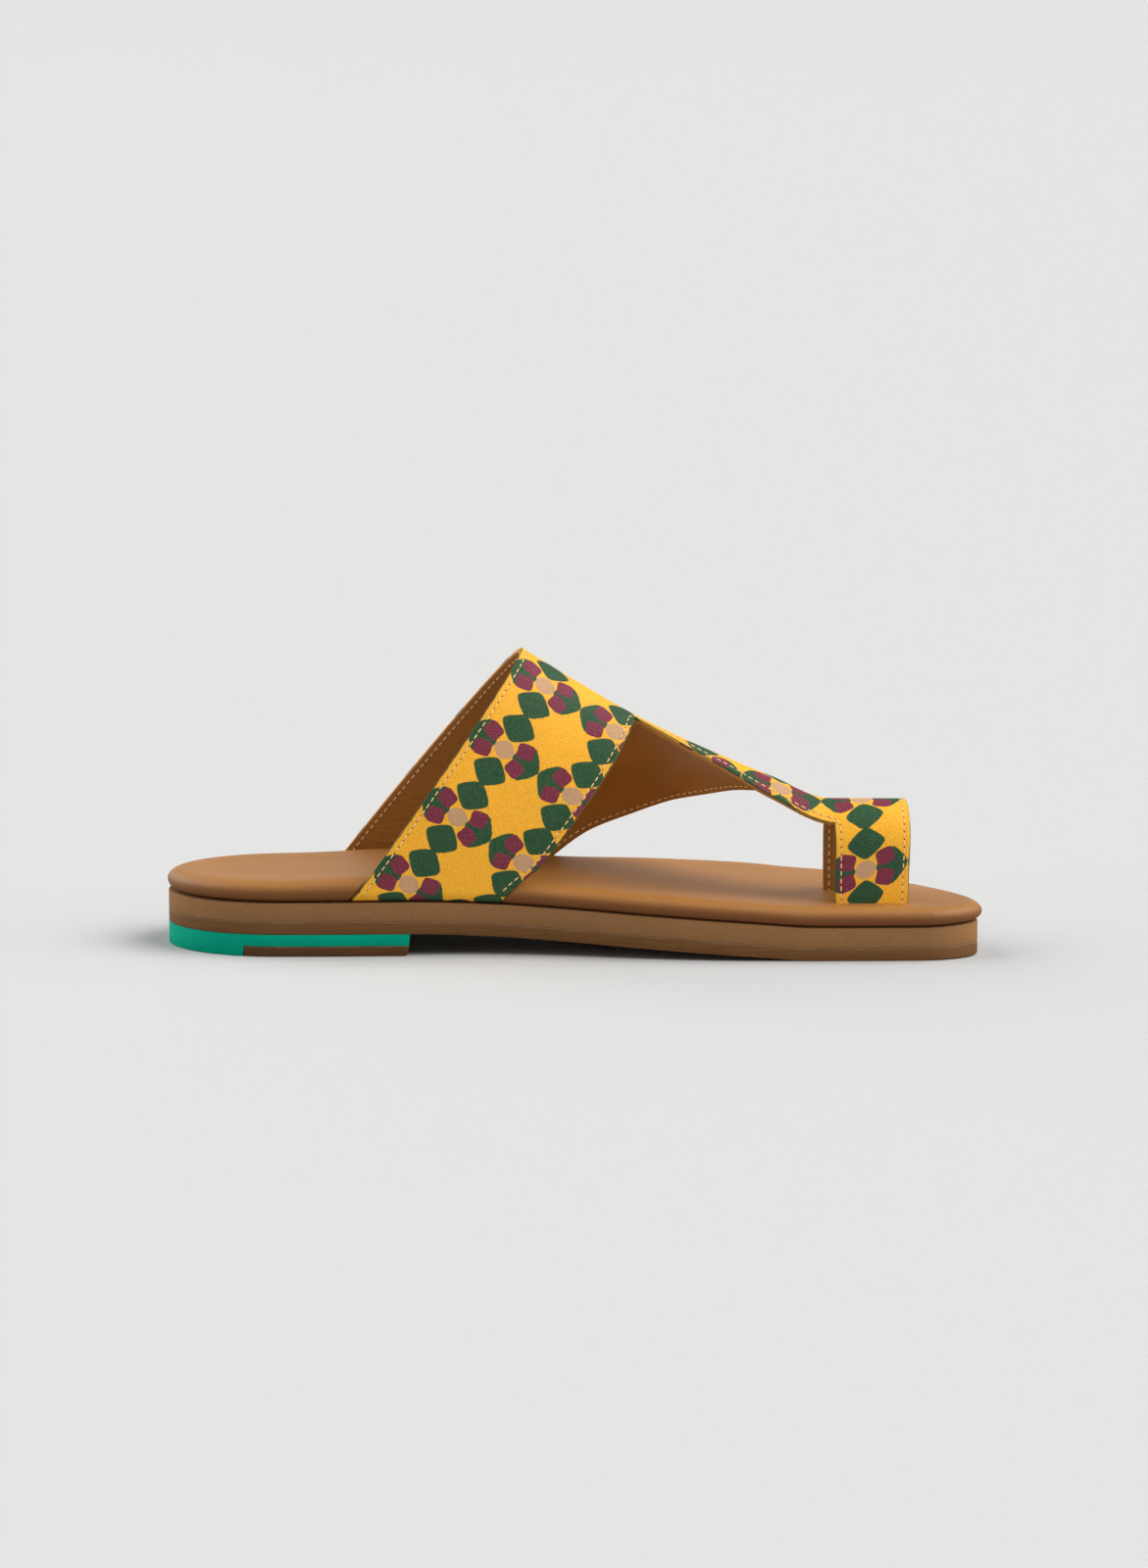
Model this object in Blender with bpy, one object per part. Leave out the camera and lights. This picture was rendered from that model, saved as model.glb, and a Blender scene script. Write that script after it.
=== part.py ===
"""Arabic sandal for the left foot.

A wide instep band, a strip along the instep ridge and a big-toe ring are one leather upper. Its wings are
tucked in between a padded footbed and a midsole, over an outsole and a low heel with a lift under its front.
Sizes are in millimetres, measured from the back of the heel (along), across the foot (minus is the big-toe
side) and up from the floor. The finished part stands in metres, centred over its own box.
"""

import math
from collections import Counter, namedtuple
from functools import lru_cache

import bmesh
import bpy
import numpy as np

MM = 0.001

# Driving dimensions
LENGTH = 280.0
BALL_WIDTH = 93.0
INSTEP_HEIGHT = 102.5
HEEL_HEIGHT = 7.6
GAP = 0.3
SPARE = 1.0

# Sole
OUTSOLE_THICKNESS = 4.3
HEEL_ROUND = 40.0
TOE_ROUND = {-1: 19.0, 1: 46.0}
TOE_TIP_ACROSS = -27.0
OVERHANG_HEEL = 0.3
OVERHANG_TOE = 1.3
SOLE_BEVEL = 0.5
STATIONS = 40

# Heel
HEEL_BREAST = 85.0
HEEL_STEP = 28.0
LIFT_THICKNESS = 3.5
HEEL_STATIONS = 18

# Footbed
FOOTBED_ROLL = 3.7
FOOTBED_DISH = 0.6
ROLL_STEPS = 6

# Upper
WALL = 2.2
WING_PROUD = 0.8
WING_TURN = 4.0
WING_CLEARANCE = 0.4
WING_MARGIN = 8.0
RING_WIDTH = 27.6
RING_ARCH = 15.0
RING_FORMED = 0.98
MEDIAL_BULGE = 2.5
MEDIAL_BULGE_POWER = 4
COLUMN_POWER = {-1: 1.0, 1: 1.6}
BAND_ROWS = 8
STRIP_ROWS = 12
RING_ROWS = 5
CENTRE_COLUMNS = 6
WING_COLUMNS = 12
RING_COLUMNS = 9
TURN_COLUMNS = 3
MARGIN_COLUMNS = 1

# Room cut in the footbed for the upper
ROOM_START = 0.45
ROOM_OUTSIDE = 4.0
ROOM_ENDS = 2 * GAP
SLIT_SHARES = (0.55, 0.7, 0.85)

# Working steps and tolerances
FOOT_ROUNDS = 8
DROP_ROUNDS = 4
ARCH_STEPS = 48
TURN_STEPS = 12
NORMAL_STEP = 0.15
HAIR = 1e-4
SAME_POINT = 1e-6
WELD = 1e-7
SHARP_ANGLE = 35.0

# inset: in rolls from the footbed's edge, dish: share of the dish's depth there
DishRing = namedtuple("DishRing", "inset dish")
DISH_RINGS = (
    DishRing(2.6, 0.4),
    DishRing(5.0, 1.0),
)

# along: share of the length, medial and lateral: shares of the ball width, rise: share of the heel height,
# all in per cent; midsole and pad: thicknesses of midsole and footbed in millimetres
SoleSection = namedtuple("SoleSection", "name along medial lateral rise midsole pad")
SOLE_SECTIONS = (
    SoleSection("heel back", 0, 36.5, 36.5, 100, 6.5, 7.4),
    SoleSection("heel seat", 14, 36.8, 36.8, 100, 6.5, 7.4),
    SoleSection("heel breast", 30, 35.5, 37.6, 100, 6.6, 9.0),
    SoleSection("waist", 40, 34.0, 40.0, 87, 6.7, 8.2),
    SoleSection("arch", 50, 37.0, 45.0, 66, 6.8, 7.1),
    SoleSection("behind the ball", 60, 43.0, 51.5, 45, 6.9, 7.0),
    SoleSection("ball", 71, 46.2, 53.8, 20, 7.0, 7.0),
    SoleSection("tread start", 80, 46.2, 49.5, 0, 7.0, 7.0),
    SoleSection("little toe", 86, 46.0, 38.5, 0, 7.0, 7.0),
    SoleSection("tread end", 92, 45.5, 26.0, 0, 7.0, 6.9),
    SoleSection("toe tip", 100, 44.0, 12.0, 8, 7.0, 6.4),
)

# crown_along: share of the length, crown_across: share of the ball width, crown_up: share of the instep
# height, all in per cent; lean_medial and lean_lateral: backward tilt of the section's two halves and turn:
# its turn in plan, in degrees; medial and lateral: reach of the centre strip from the crown, in millimetres;
# ring: how far the section has changed from the foot's arch to the toe ring's, in per cent
UpperSection = namedtuple(
    "UpperSection",
    "name crown_along crown_across crown_up lean_medial lean_lateral turn medial lateral ring",
)
UPPER_SECTIONS = (
    UpperSection("band back", 43.9, 0.5, 99.5, 36, 38.3, 4.4, 3.0, 14.0, 0),
    UpperSection("band middle", 50.5, -1.6, 88.6, 36.5, 38, 4.4, 3.0, 14.0, 0),
    UpperSection("notch", 57.6, -5.4, 77.8, 37.5, 37, 5.0, 3.0, 14.0, 0),
    UpperSection("strip back", 67.4, -12.0, 65.7, 27, 28, 8.0, 8.2, 14.0, 0),
    UpperSection("strip front", 74.6, -16.5, 58.0, 17, 17, 7.5, 12.8, 13.5, 60),
    UpperSection("ring back", 81.6, -19.6, 51.1, 0, 0, 6.1, 13.7, 13.0, 100),
    UpperSection("ring front", 90.7, -19.6, 51.0, 2, 0, 6.1, 13.7, 13.0, 100),
)

# part: share of the way from the strip's edge to the foot, place: how far forward the wing's front edge is
# there, in millimetres along the crown
FlareRow = namedtuple("FlareRow", "part place")
LATERAL_FLARE = (
    FlareRow(0.0, 111.0),
    FlareRow(0.05, 106.0),
    FlareRow(0.25, 96.0),
    FlareRow(0.5, 85.5),
    FlareRow(0.65, 72.6),
    FlareRow(0.8, 61.6),
    FlareRow(1.0, 56.5),
)

MATERIALS = {
    "upper": ((0.62, 0.36, 0.07), 0.45),
    "footbed": ((0.42, 0.23, 0.10), 0.50),
    "midsole": ((0.20, 0.10, 0.04), 0.80),
    "outsole": ((0.10, 0.05, 0.02), 0.65),
    "heel_block": ((0.01, 0.24, 0.15), 0.45),
    "heel_lift": ((0.05, 0.02, 0.01), 0.60),
}


class Track:
    """Smooth line through a table's column that never overshoots its rows."""

    def __init__(self, places, values):
        self.places = np.array(places, float)
        self.values = np.array(values, float)
        self.steps = np.diff(self.places)
        rises = np.diff(self.values) / self.steps
        self.slopes = np.zeros(len(self.places))
        self.slopes[0] = rises[0]
        self.slopes[-1] = rises[-1]
        for i in range(1, len(rises)):
            if rises[i - 1] * rises[i] > 0:
                first = 2 * self.steps[i] + self.steps[i - 1]
                second = self.steps[i] + 2 * self.steps[i - 1]
                self.slopes[i] = (first + second) / (first / rises[i - 1] + second / rises[i])

    def __call__(self, at):
        i = int(np.clip(np.searchsorted(self.places, at) - 1, 0, len(self.steps) - 1))
        step = self.steps[i]
        t = (at - self.places[i]) / step
        start = (1 + 2 * t) * (1 - t) ** 2 * self.values[i] + t * (1 - t) ** 2 * step * self.slopes[i]
        end = t * t * (3 - 2 * t) * self.values[i + 1] + t * t * (t - 1) * step * self.slopes[i + 1]
        return start + end


def column(rows, field, whole):
    """A column of a table, turned from per cent into millimetres of a whole."""
    return [getattr(row, field) * whole / 100 for row in rows]


SOLE_PLACES = column(SOLE_SECTIONS, "along", LENGTH)
SOLE_HALF = {
    -1: Track(SOLE_PLACES, column(SOLE_SECTIONS, "medial", BALL_WIDTH)),
    1: Track(SOLE_PLACES, column(SOLE_SECTIONS, "lateral", BALL_WIDTH)),
}
OUTSOLE_BOTTOM = Track(SOLE_PLACES, column(SOLE_SECTIONS, "rise", HEEL_HEIGHT))
MIDSOLE_THICKNESS = Track(SOLE_PLACES, column(SOLE_SECTIONS, "midsole", 100))
PAD_THICKNESS = Track(SOLE_PLACES, column(SOLE_SECTIONS, "pad", 100))


def outsole_top(along):
    return OUTSOLE_BOTTOM(along) + OUTSOLE_THICKNESS


def midsole_top(along):
    return outsole_top(along) + MIDSOLE_THICKNESS(along)


def footbed_bottom(along):
    return midsole_top(along) + GAP


def footbed_top(along):
    return midsole_top(along) + PAD_THICKNESS(along)


def rounding(along, side):
    """Share of the width that is left where the outline rounds off at the heel and the toe."""
    if along < HEEL_ROUND:
        short = 1 - along / HEEL_ROUND
    else:
        short = max(0.0, 1 - (LENGTH - along) / TOE_ROUND[side])
    return math.sqrt(max(0.0, 1 - short * short))


def footbed_edge(along, side):
    """Across place of the footbed's widest edge."""
    tip = 0.0 if along < LENGTH / 2 else TOE_TIP_ACROSS
    return tip + (side * SOLE_HALF[side](along) - tip) * rounding(along, side)


def overhang(along):
    share = along / LENGTH
    return OVERHANG_HEEL * (1 - share) + OVERHANG_TOE * share


def sole_edge(along, side):
    """Across place of the side of midsole and outsole, under the footbed's overhang."""
    return footbed_edge(along, side) - side * overhang(along) * rounding(along, side)


def outline_ring(inset_heel, inset_toe, height, start=0.0, end=1.0, count=STATIONS):
    """Closed ring of points round the outline: big-toe side forwards, then little-toe side back."""
    sides = {-1: [], 1: []}
    for i in range(count + 1):
        share = start + (end - start) * (1 - math.cos(math.pi * i / count)) / 2
        inset = inset_heel * (1 - share) + inset_toe * share
        along = inset_heel + share * (LENGTH - inset_heel - inset_toe)
        for side in (-1, 1):
            reach = footbed_edge(share * LENGTH, side)
            across = reach - side * inset * rounding(share * LENGTH, side)
            sides[side].append((along, across, height(along)))
    return sides


def slab(levels):
    """Closed solid through outline rings from bottom to top, with rungs across its two ends."""
    points = []
    faces = []
    index = {}
    for level, sides in enumerate(levels):
        for side in (-1, 1):
            for i, point in enumerate(sides[side]):
                tip = side == 1 and math.dist(point, sides[-1][i]) < SAME_POINT
                if tip:
                    index[level, side, i] = index[level, -1, i]
                    continue
                index[level, side, i] = len(points)
                points.append(point)
    last = len(levels[0][-1]) - 1
    for level in range(len(levels) - 1):
        for side in (-1, 1):
            for i in range(last):
                face = [index[level, side, i], index[level, side, i + 1],
                        index[level + 1, side, i + 1], index[level + 1, side, i]]
                faces.append(face if side == -1 else face[::-1])
        for i in (0, last):
            face = [index[level, 1, i], index[level, -1, i],
                    index[level + 1, -1, i], index[level + 1, 1, i]]
            faces.append(face if i == 0 else face[::-1])
    for level in (0, len(levels) - 1):
        for i in range(last):
            face = [index[level, -1, i], index[level, 1, i],
                    index[level, 1, i + 1], index[level, -1, i + 1]]
            faces.append(face if level == 0 else face[::-1])
    faces = [list(dict.fromkeys(face)) for face in faces]
    return points, [face for face in faces if len(face) > 2]


def sole_layer(bottom, top, start=0.0, end=1.0, count=STATIONS):
    """A layer of the sole between two height rules, its edges eased by a small bevel."""
    profile = (
        (SOLE_BEVEL, bottom, 0.0),
        (0.0, bottom, SOLE_BEVEL),
        (0.0, top, -SOLE_BEVEL),
        (SOLE_BEVEL, top, 0.0),
    )
    levels = []
    for inset, rule, shift in profile:
        height = lambda along, rule=rule, shift=shift: rule(along) + shift
        levels.append(outline_ring(OVERHANG_HEEL + inset, OVERHANG_TOE + inset, height, start, end, count))
    return slab(levels)


def footbed_solid():
    """The padded footbed: a flat base, a fully rounded edge and a slightly dished top."""
    levels = []
    for step in range(ROLL_STEPS + 1):
        angle = math.pi * (step / ROLL_STEPS - 0.5)
        inset = FOOTBED_ROLL * (1 - math.cos(angle))
        share = (1 + math.sin(angle)) / 2
        height = lambda along, share=share: (
            footbed_bottom(along) * (1 - share) + footbed_top(along) * share
        )
        levels.append(outline_ring(inset, inset, height))
    for ring in DISH_RINGS:
        height = lambda along, dish=ring.dish: footbed_top(along) - dish * FOOTBED_DISH
        levels.append(outline_ring(ring.inset * FOOTBED_ROLL, ring.inset * FOOTBED_ROLL, height))
    return slab(levels)


CROWN_POINTS = np.stack([
    column(UPPER_SECTIONS, "crown_along", LENGTH),
    column(UPPER_SECTIONS, "crown_across", BALL_WIDTH),
    column(UPPER_SECTIONS, "crown_up", INSTEP_HEIGHT),
], axis=1)
CROWN_PLACES = np.concatenate([[0.0], np.cumsum(np.linalg.norm(np.diff(CROWN_POINTS, axis=0), axis=1))])
CROWN = [Track(CROWN_PLACES, CROWN_POINTS[:, axis]) for axis in range(3)]
LEAN = {
    -1: Track(CROWN_PLACES, [math.radians(row.lean_medial) for row in UPPER_SECTIONS]),
    1: Track(CROWN_PLACES, [math.radians(row.lean_lateral) for row in UPPER_SECTIONS]),
}
TURN = Track(CROWN_PLACES, [math.radians(row.turn) for row in UPPER_SECTIONS])
STRIP_EDGE = {
    -1: Track(CROWN_PLACES, [row.medial for row in UPPER_SECTIONS]),
    1: Track(CROWN_PLACES, [row.lateral for row in UPPER_SECTIONS]),
}
RING_SHARE = Track(CROWN_PLACES, column(UPPER_SECTIONS, "ring", 1.0))
PLACE = {row.name: place for row, place in zip(UPPER_SECTIONS, CROWN_PLACES)}
FLARE = Track([row.part for row in LATERAL_FLARE], [row.place for row in LATERAL_FLARE])
FLARE_START = LATERAL_FLARE[0].place


@lru_cache(maxsize=None)
def section(place, side):
    """Half of the upper's section: points (across, drop) from the crown to its end, with lengths."""
    lean = LEAN[side](place)
    turn = TURN(place)
    crown_along = CROWN[0](place)
    half = BALL_WIDTH / 2
    for _ in range(FOOT_ROUNDS):
        drop = INSTEP_HEIGHT / 2
        for _ in range(DROP_ROUNDS):
            foot_along = crown_along - side * half * math.sin(turn) - drop * math.sin(lean)
            drop = (CROWN[2](place) - midsole_top(foot_along) - GAP) / math.cos(lean)
        foot_across = sole_edge(foot_along, side) + side * WING_PROUD
        half = side * (foot_across - CROWN[1](place)) / math.cos(turn)
    share = RING_SHARE(place)
    half = half * (1 - share) + RING_WIDTH / 2 * share
    arch = (drop - WING_TURN) * (1 - share) + RING_ARCH * share
    angles = np.linspace(0, math.pi / 2, ARCH_STEPS + 1)
    across = list(half * np.sin(angles))
    down = list(arch * (1 - np.cos(angles)))
    if share < RING_FORMED:
        across.append(half)
        down.append(drop - WING_TURN + HAIR)
        foot = len(across) - 1
        for angle in np.linspace(0, math.pi / 2, TURN_STEPS + 1)[1:]:
            across.append(half - WING_TURN * (1 - math.cos(angle)))
            down.append(drop - WING_TURN * (1 - math.sin(angle)))
        turned = len(across) - 1
        across.append(half - WING_TURN - WING_MARGIN - SPARE)
        down.append(drop)
    else:
        across += [half, half]
        down += [drop, drop + SPARE]
        foot = turned = len(across) - 2
    across = np.array(across)
    down = np.array(down)
    lengths = np.concatenate([[0.0], np.cumsum(np.hypot(np.diff(across), np.diff(down)))])
    return across, down, lengths, lengths[foot], lengths[turned], lengths[-1] - SPARE


def leather_point(place, reach):
    """Outer face of the upper, at a place along the crown and a reach across it from the crown."""
    side = -1 if reach < 0 else 1
    across, down, lengths = section(place, side)[:3]
    w = side * np.interp(abs(reach), lengths, across)
    q = np.interp(abs(reach), lengths, down)
    lean = LEAN[side](place)
    turn = TURN(place)
    return np.array([
        CROWN[0](place) - w * math.sin(turn) - q * math.sin(lean),
        CROWN[1](place) + w * math.cos(turn),
        CROWN[2](place) - q * math.cos(lean),
    ])


def leather_normal(place, reach):
    """Outward direction of the upper's outer face."""
    limit = section(place, -1 if reach < 0 else 1)[5] + SPARE
    low = max(reach - NORMAL_STEP, -limit)
    high = min(reach + NORMAL_STEP, limit)
    along = leather_point(place + NORMAL_STEP, reach) - leather_point(place - NORMAL_STEP, reach)
    across = leather_point(place, high) - leather_point(place, low)
    normal = np.cross(along, across)
    return normal / np.linalg.norm(normal)


def wing_reach(place, side, part):
    """Reach of a wing's column: 0 to 1 strip edge to foot, 1 to 2 its turn, 2 to 3 its tucked margin."""
    foot, turned, end = section(place, side)[3:]
    edge = STRIP_EDGE[side](place)
    stops = (edge, foot, turned, end)
    whole = min(2, int(part))
    return side * (stops[whole] + (part - whole) * (stops[whole + 1] - stops[whole]))


def wing_front(side, part):
    """Place of a wing's front edge: straight on the big-toe side, swept far forward on the other."""
    part = min(1.0, part)
    if side == 1:
        return FLARE(part)
    return PLACE["notch"] + MEDIAL_BULGE * (1 - (1 - part) ** MEDIAL_BULGE_POWER)


def wing_parts(side):
    """Columns of a wing, closer together where its front edge curves most."""
    parts = [(i / WING_COLUMNS) ** COLUMN_POWER[side] for i in range(WING_COLUMNS + 1)]
    parts += [1 + (i + 1) / TURN_COLUMNS for i in range(TURN_COLUMNS)]
    parts += [2 + (i + 1) / MARGIN_COLUMNS for i in range(MARGIN_COLUMNS)]
    return parts


def centre_places():
    """Places of the rows along the crown, from the band's back edge to the start of the flare."""
    notch = PLACE["notch"]
    rows = [notch * i / BAND_ROWS for i in range(BAND_ROWS + 1)]
    rows += [notch + (FLARE_START - notch) * (i + 1) / STRIP_ROWS for i in range(STRIP_ROWS)]
    return rows


class Leather:
    """Grid of places on the upper's outer face, grown block by block and given its wall at the end."""

    def __init__(self):
        self.spots = []
        self.faces = []
        self.known = {}

    def spot(self, place, reach):
        key = (round(place, 4), round(reach, 4))
        if key not in self.known:
            self.known[key] = len(self.spots)
            self.spots.append((place, reach))
        return self.known[key]

    def block(self, grid):
        """Faces of a block given as rows of (place, reach), reach growing along each row."""
        for back, front in zip(grid, grid[1:]):
            for i in range(len(back) - 1):
                corners = (back[i], front[i], front[i + 1], back[i + 1])
                face = [self.spot(*corner) for corner in corners]
                self.faces.append(face)

    def solid(self, outside, inside):
        """Closed wall from an offset outside the outer face to one inside it."""
        points = []
        for offset in (outside, -inside):
            for place, reach in self.spots:
                points.append(leather_point(place, reach) + offset * leather_normal(place, reach))
        count = len(self.spots)
        faces = [list(face) for face in self.faces]
        faces += [[corner + count for corner in reversed(face)] for face in self.faces]
        edges = Counter()
        for face in self.faces:
            for start, end in zip(face, face[1:] + face[:1]):
                edges[start, end] += 1
        for start, end in edges:
            if (end, start) not in edges:
                faces.append([end, start, start + count, end + count])
        return points, faces


def upper_solid():
    """Band, strip and toe ring as one wall of leather."""
    leather = Leather()
    rows = centre_places()
    ring_back = PLACE["ring back"]
    ring_front = PLACE["ring front"]
    ring_rows = [ring_back + (ring_front - ring_back) * i / RING_ROWS for i in range(RING_ROWS + 1)]

    def strip_row(place):
        low = -STRIP_EDGE[-1](place)
        high = STRIP_EDGE[1](place)
        return [(place, low + (high - low) * i / CENTRE_COLUMNS) for i in range(CENTRE_COLUMNS + 1)]

    leather.block([strip_row(place) for place in rows + ring_rows])
    for side, wing_rows in ((-1, rows[:BAND_ROWS + 1]), (1, rows)):
        grid = []
        for place in wing_rows:
            line = []
            for part in wing_parts(side):
                spot = place / wing_rows[-1] * wing_front(side, part)
                line.append((spot, wing_reach(spot, side, part)))
            grid.append(line if side == 1 else line[::-1])
        leather.block(grid)
    for side in (-1, 1):
        grid = []
        for place in ring_rows:
            line = [(place, wing_reach(place, side, i / RING_COLUMNS)) for i in range(RING_COLUMNS + 1)]
            grid.append(line if side == 1 else line[::-1])
        leather.block(grid)
    return leather.solid(0.0, WALL)


def build_mesh(name, points, faces):
    """Object from points in millimetres, triangulated, smooth where it is round."""
    mesh = bpy.data.meshes.new(name)
    mesh.from_pydata([tuple(float(value) * MM for value in point) for point in points], [], faces)
    form = bmesh.new()
    form.from_mesh(mesh)
    bmesh.ops.remove_doubles(form, verts=form.verts, dist=WELD)
    bmesh.ops.dissolve_degenerate(form, edges=form.edges, dist=WELD)
    bmesh.ops.triangulate(form, faces=form.faces)
    form.to_mesh(mesh)
    form.free()
    mesh.shade_smooth()
    mesh.set_sharp_from_angle(angle=math.radians(SHARP_ANGLE))
    item = bpy.data.objects.new(name, mesh)
    bpy.context.scene.collection.objects.link(item)
    return item


def wing_cutter(side):
    """Room in the footbed for a wing: its wall and margin with clearance, open to the outside."""
    leather = Leather()
    parts = [ROOM_START + (1 - ROOM_START) * i / WING_COLUMNS for i in range(WING_COLUMNS + 1)]
    parts += [1 + (i + 1) / TURN_COLUMNS for i in range(TURN_COLUMNS)]
    parts += [3.0 + ROOM_ENDS / WING_MARGIN]
    grid = []
    for i in range(BAND_ROWS + 1):
        line = []
        for part in parts:
            place = -ROOM_ENDS + (wing_front(side, part) + 2 * ROOM_ENDS) * i / BAND_ROWS
            line.append((place, wing_reach(place, side, part)))
        grid.append(line if side == 1 else line[::-1])
    leather.block(grid)
    return leather.solid(ROOM_OUTSIDE, WALL + WING_CLEARANCE)


def lift_room():
    """Step in the heel block's underside, open at its front and sides."""
    item = build_mesh("lift_room", [], [])
    form = bmesh.new()
    bmesh.ops.create_cube(form, size=1.0)
    size = (LENGTH, 2 * BALL_WIDTH, 2 * (LIFT_THICKNESS + GAP))
    bmesh.ops.scale(form, vec=[value * MM for value in size], verts=form.verts)
    bmesh.ops.translate(form, vec=((HEEL_STEP - GAP + LENGTH / 2) * MM, 0.0, 0.0), verts=form.verts)
    form.to_mesh(item.data)
    form.free()
    return item


def ring_cutter(side):
    """Slit in the footbed for a wall of the toe ring."""
    leather = Leather()
    grid = []
    for place in (PLACE["ring back"] - ROOM_ENDS, PLACE["ring front"] + ROOM_ENDS):
        end = section(place, side)[5]
        line = [(place, side * reach) for reach in [share * end for share in SLIT_SHARES] + [end + SPARE]]
        grid.append(line if side == 1 else line[::-1])
    leather.block(grid)
    return leather.solid(GAP, WALL + GAP)


def finish(item, parent):
    """Material and parent of a finished piece."""
    colour, roughness = MATERIALS[item.name]
    material = bpy.data.materials.new(item.name)
    material.use_nodes = True
    shader = material.node_tree.nodes["Principled BSDF"]
    shader.inputs["Base Color"].default_value = (*colour, 1.0)
    shader.inputs["Roughness"].default_value = roughness
    item.data.materials.append(material)
    item.parent = parent


def cut(item, cutters):
    for cutter in cutters:
        cutter.hide_render = True
        cutter.display_type = "WIRE"
        step = item.modifiers.new(cutter.name, "BOOLEAN")
        step.operation = "DIFFERENCE"
        step.solver = "EXACT"
        step.object = cutter


def main():
    for item in list(bpy.data.objects):
        bpy.data.objects.remove(item, do_unlink=True)
    base = bpy.data.objects.new("sandal", None)
    bpy.context.scene.collection.objects.link(base)
    widest = outline_ring(0.0, 0.0, footbed_top)
    across = [point[1] for side in widest.values() for point in side]
    base.location = (-LENGTH / 2 * MM, -(min(across) + max(across)) / 2 * MM, 0.0)

    upper = build_mesh("upper", *upper_solid())
    footbed = build_mesh("footbed", *footbed_solid())
    cutters = []
    for side, word in ((-1, "medial"), (1, "lateral")):
        cutters.append(build_mesh(f"{word}_wing_room", *wing_cutter(side)))
        cutters.append(build_mesh(f"{word}_ring_slit", *ring_cutter(side)))
    cut(footbed, cutters)
    midsole = build_mesh("midsole", *sole_layer(lambda a: outsole_top(a) + GAP, midsole_top))
    outsole = build_mesh("outsole", *sole_layer(OUTSOLE_BOTTOM, outsole_top))
    heel_end = HEEL_BREAST / LENGTH
    step_at = HEEL_STEP / LENGTH
    heel_block = build_mesh("heel_block", *sole_layer(
        lambda a: 0.0, lambda a: HEEL_HEIGHT - GAP, 0.0, heel_end, HEEL_STATIONS))
    cutters.append(lift_room())
    cut(heel_block, cutters[-1:])
    heel_lift = build_mesh("heel_lift", *sole_layer(
        lambda a: 0.0, lambda a: LIFT_THICKNESS, step_at, heel_end, HEEL_STATIONS))
    for item in (upper, footbed, midsole, outsole, heel_block, heel_lift):
        finish(item, base)
    for cutter in cutters:
        cutter.parent = base


if __name__ == "__main__":
    main()
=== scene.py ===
"""Looks of a left-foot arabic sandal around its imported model.

Laid out as a Blender add-on and run as a script. Tables and shape functions are in
millimetres: along from the back of the heel, across the foot (minus is the big-toe side)
and up from the floor, as in the part's own source. On the upper, place is measured along
its crown and reach across it from the crown. Properties and meshes are in metres, in the
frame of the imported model.
"""

import math
from collections import namedtuple
from functools import lru_cache

import bmesh
import bpy
import numpy as np
from bpy.props import FloatProperty, FloatVectorProperty, IntProperty, PointerProperty
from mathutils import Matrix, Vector


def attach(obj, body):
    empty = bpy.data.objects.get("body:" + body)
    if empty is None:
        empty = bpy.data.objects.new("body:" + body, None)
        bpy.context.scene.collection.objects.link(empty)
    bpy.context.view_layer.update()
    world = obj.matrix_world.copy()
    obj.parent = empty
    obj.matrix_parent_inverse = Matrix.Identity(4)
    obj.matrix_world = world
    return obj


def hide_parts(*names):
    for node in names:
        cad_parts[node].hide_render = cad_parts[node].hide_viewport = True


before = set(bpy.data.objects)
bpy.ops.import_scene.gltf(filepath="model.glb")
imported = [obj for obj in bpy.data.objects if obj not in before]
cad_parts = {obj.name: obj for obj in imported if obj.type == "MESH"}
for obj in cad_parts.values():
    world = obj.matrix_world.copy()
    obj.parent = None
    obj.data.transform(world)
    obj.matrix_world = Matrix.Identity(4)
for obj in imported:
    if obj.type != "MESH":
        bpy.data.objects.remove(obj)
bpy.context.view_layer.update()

bl_info = {
    "name": "Arabic sandal",
    "version": (1, 0, 0),
    "blender": (4, 5, 0),
    "location": "View3D > Sidebar > Sandal",
    "description": "Finished pieces of a printed leather sandal",
    "category": "Object",
}

MM = 0.001
BODY = "root"

# Driving dimensions, as in the part's source
LENGTH = 280.0
BALL_WIDTH = 93.0
INSTEP_HEIGHT = 102.5
HEEL_HEIGHT = 7.6
GAP = 0.3
SPARE = 1.0

# Sole
OUTSOLE_THICKNESS = 4.3
HEEL_ROUND = 40.0
TOE_ROUND = {-1: 19.0, 1: 46.0}
TOE_TIP_ACROSS = -27.0
OVERHANG_HEEL = 0.3
OVERHANG_TOE = 1.3
HEEL_BREAST = 85.0
HEEL_STEP = 28.0
LIFT_THICKNESS = 3.5
LIFT_ROUND = 1.6
BREAST_SLOPE = 0.8
BREAST_ROUND = 0.8
BREAST_DEPTH = 3.0
BREAST_STEPS = 9
SEAM = 0.03
MIDSOLE_BEVEL = 0.3
SOLE_BEVEL = 0.25
SOLE_COLUMNS = 8
HEEL_COLUMNS = 1
SHARP_ANGLE = math.radians(50.0)

# Footbed: its rolled edge, the dish under the foot and the crown at the toe
ROLL_UNDER = 3.7
ROLL_OVER = 6.3
ROLL_OVER_TOE = 4.8
UNDER_STEPS = 8
OVER_STEPS = 12
FOOTBED_COLUMNS = 56
FOOTBED_DISH = 0.45
DISH_START = 7.0
DISH_END = 22.0
TOE_CROWN = 0.5
CROWN_START = 200.0
CROWN_END = 235.0
RIM_START = 0.3
SLIT_PART = 0.8
SLIT_STEPS = 60
SLIT_DENT = 0.15
SLIT_DENT_WIDTH = 2.3

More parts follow.
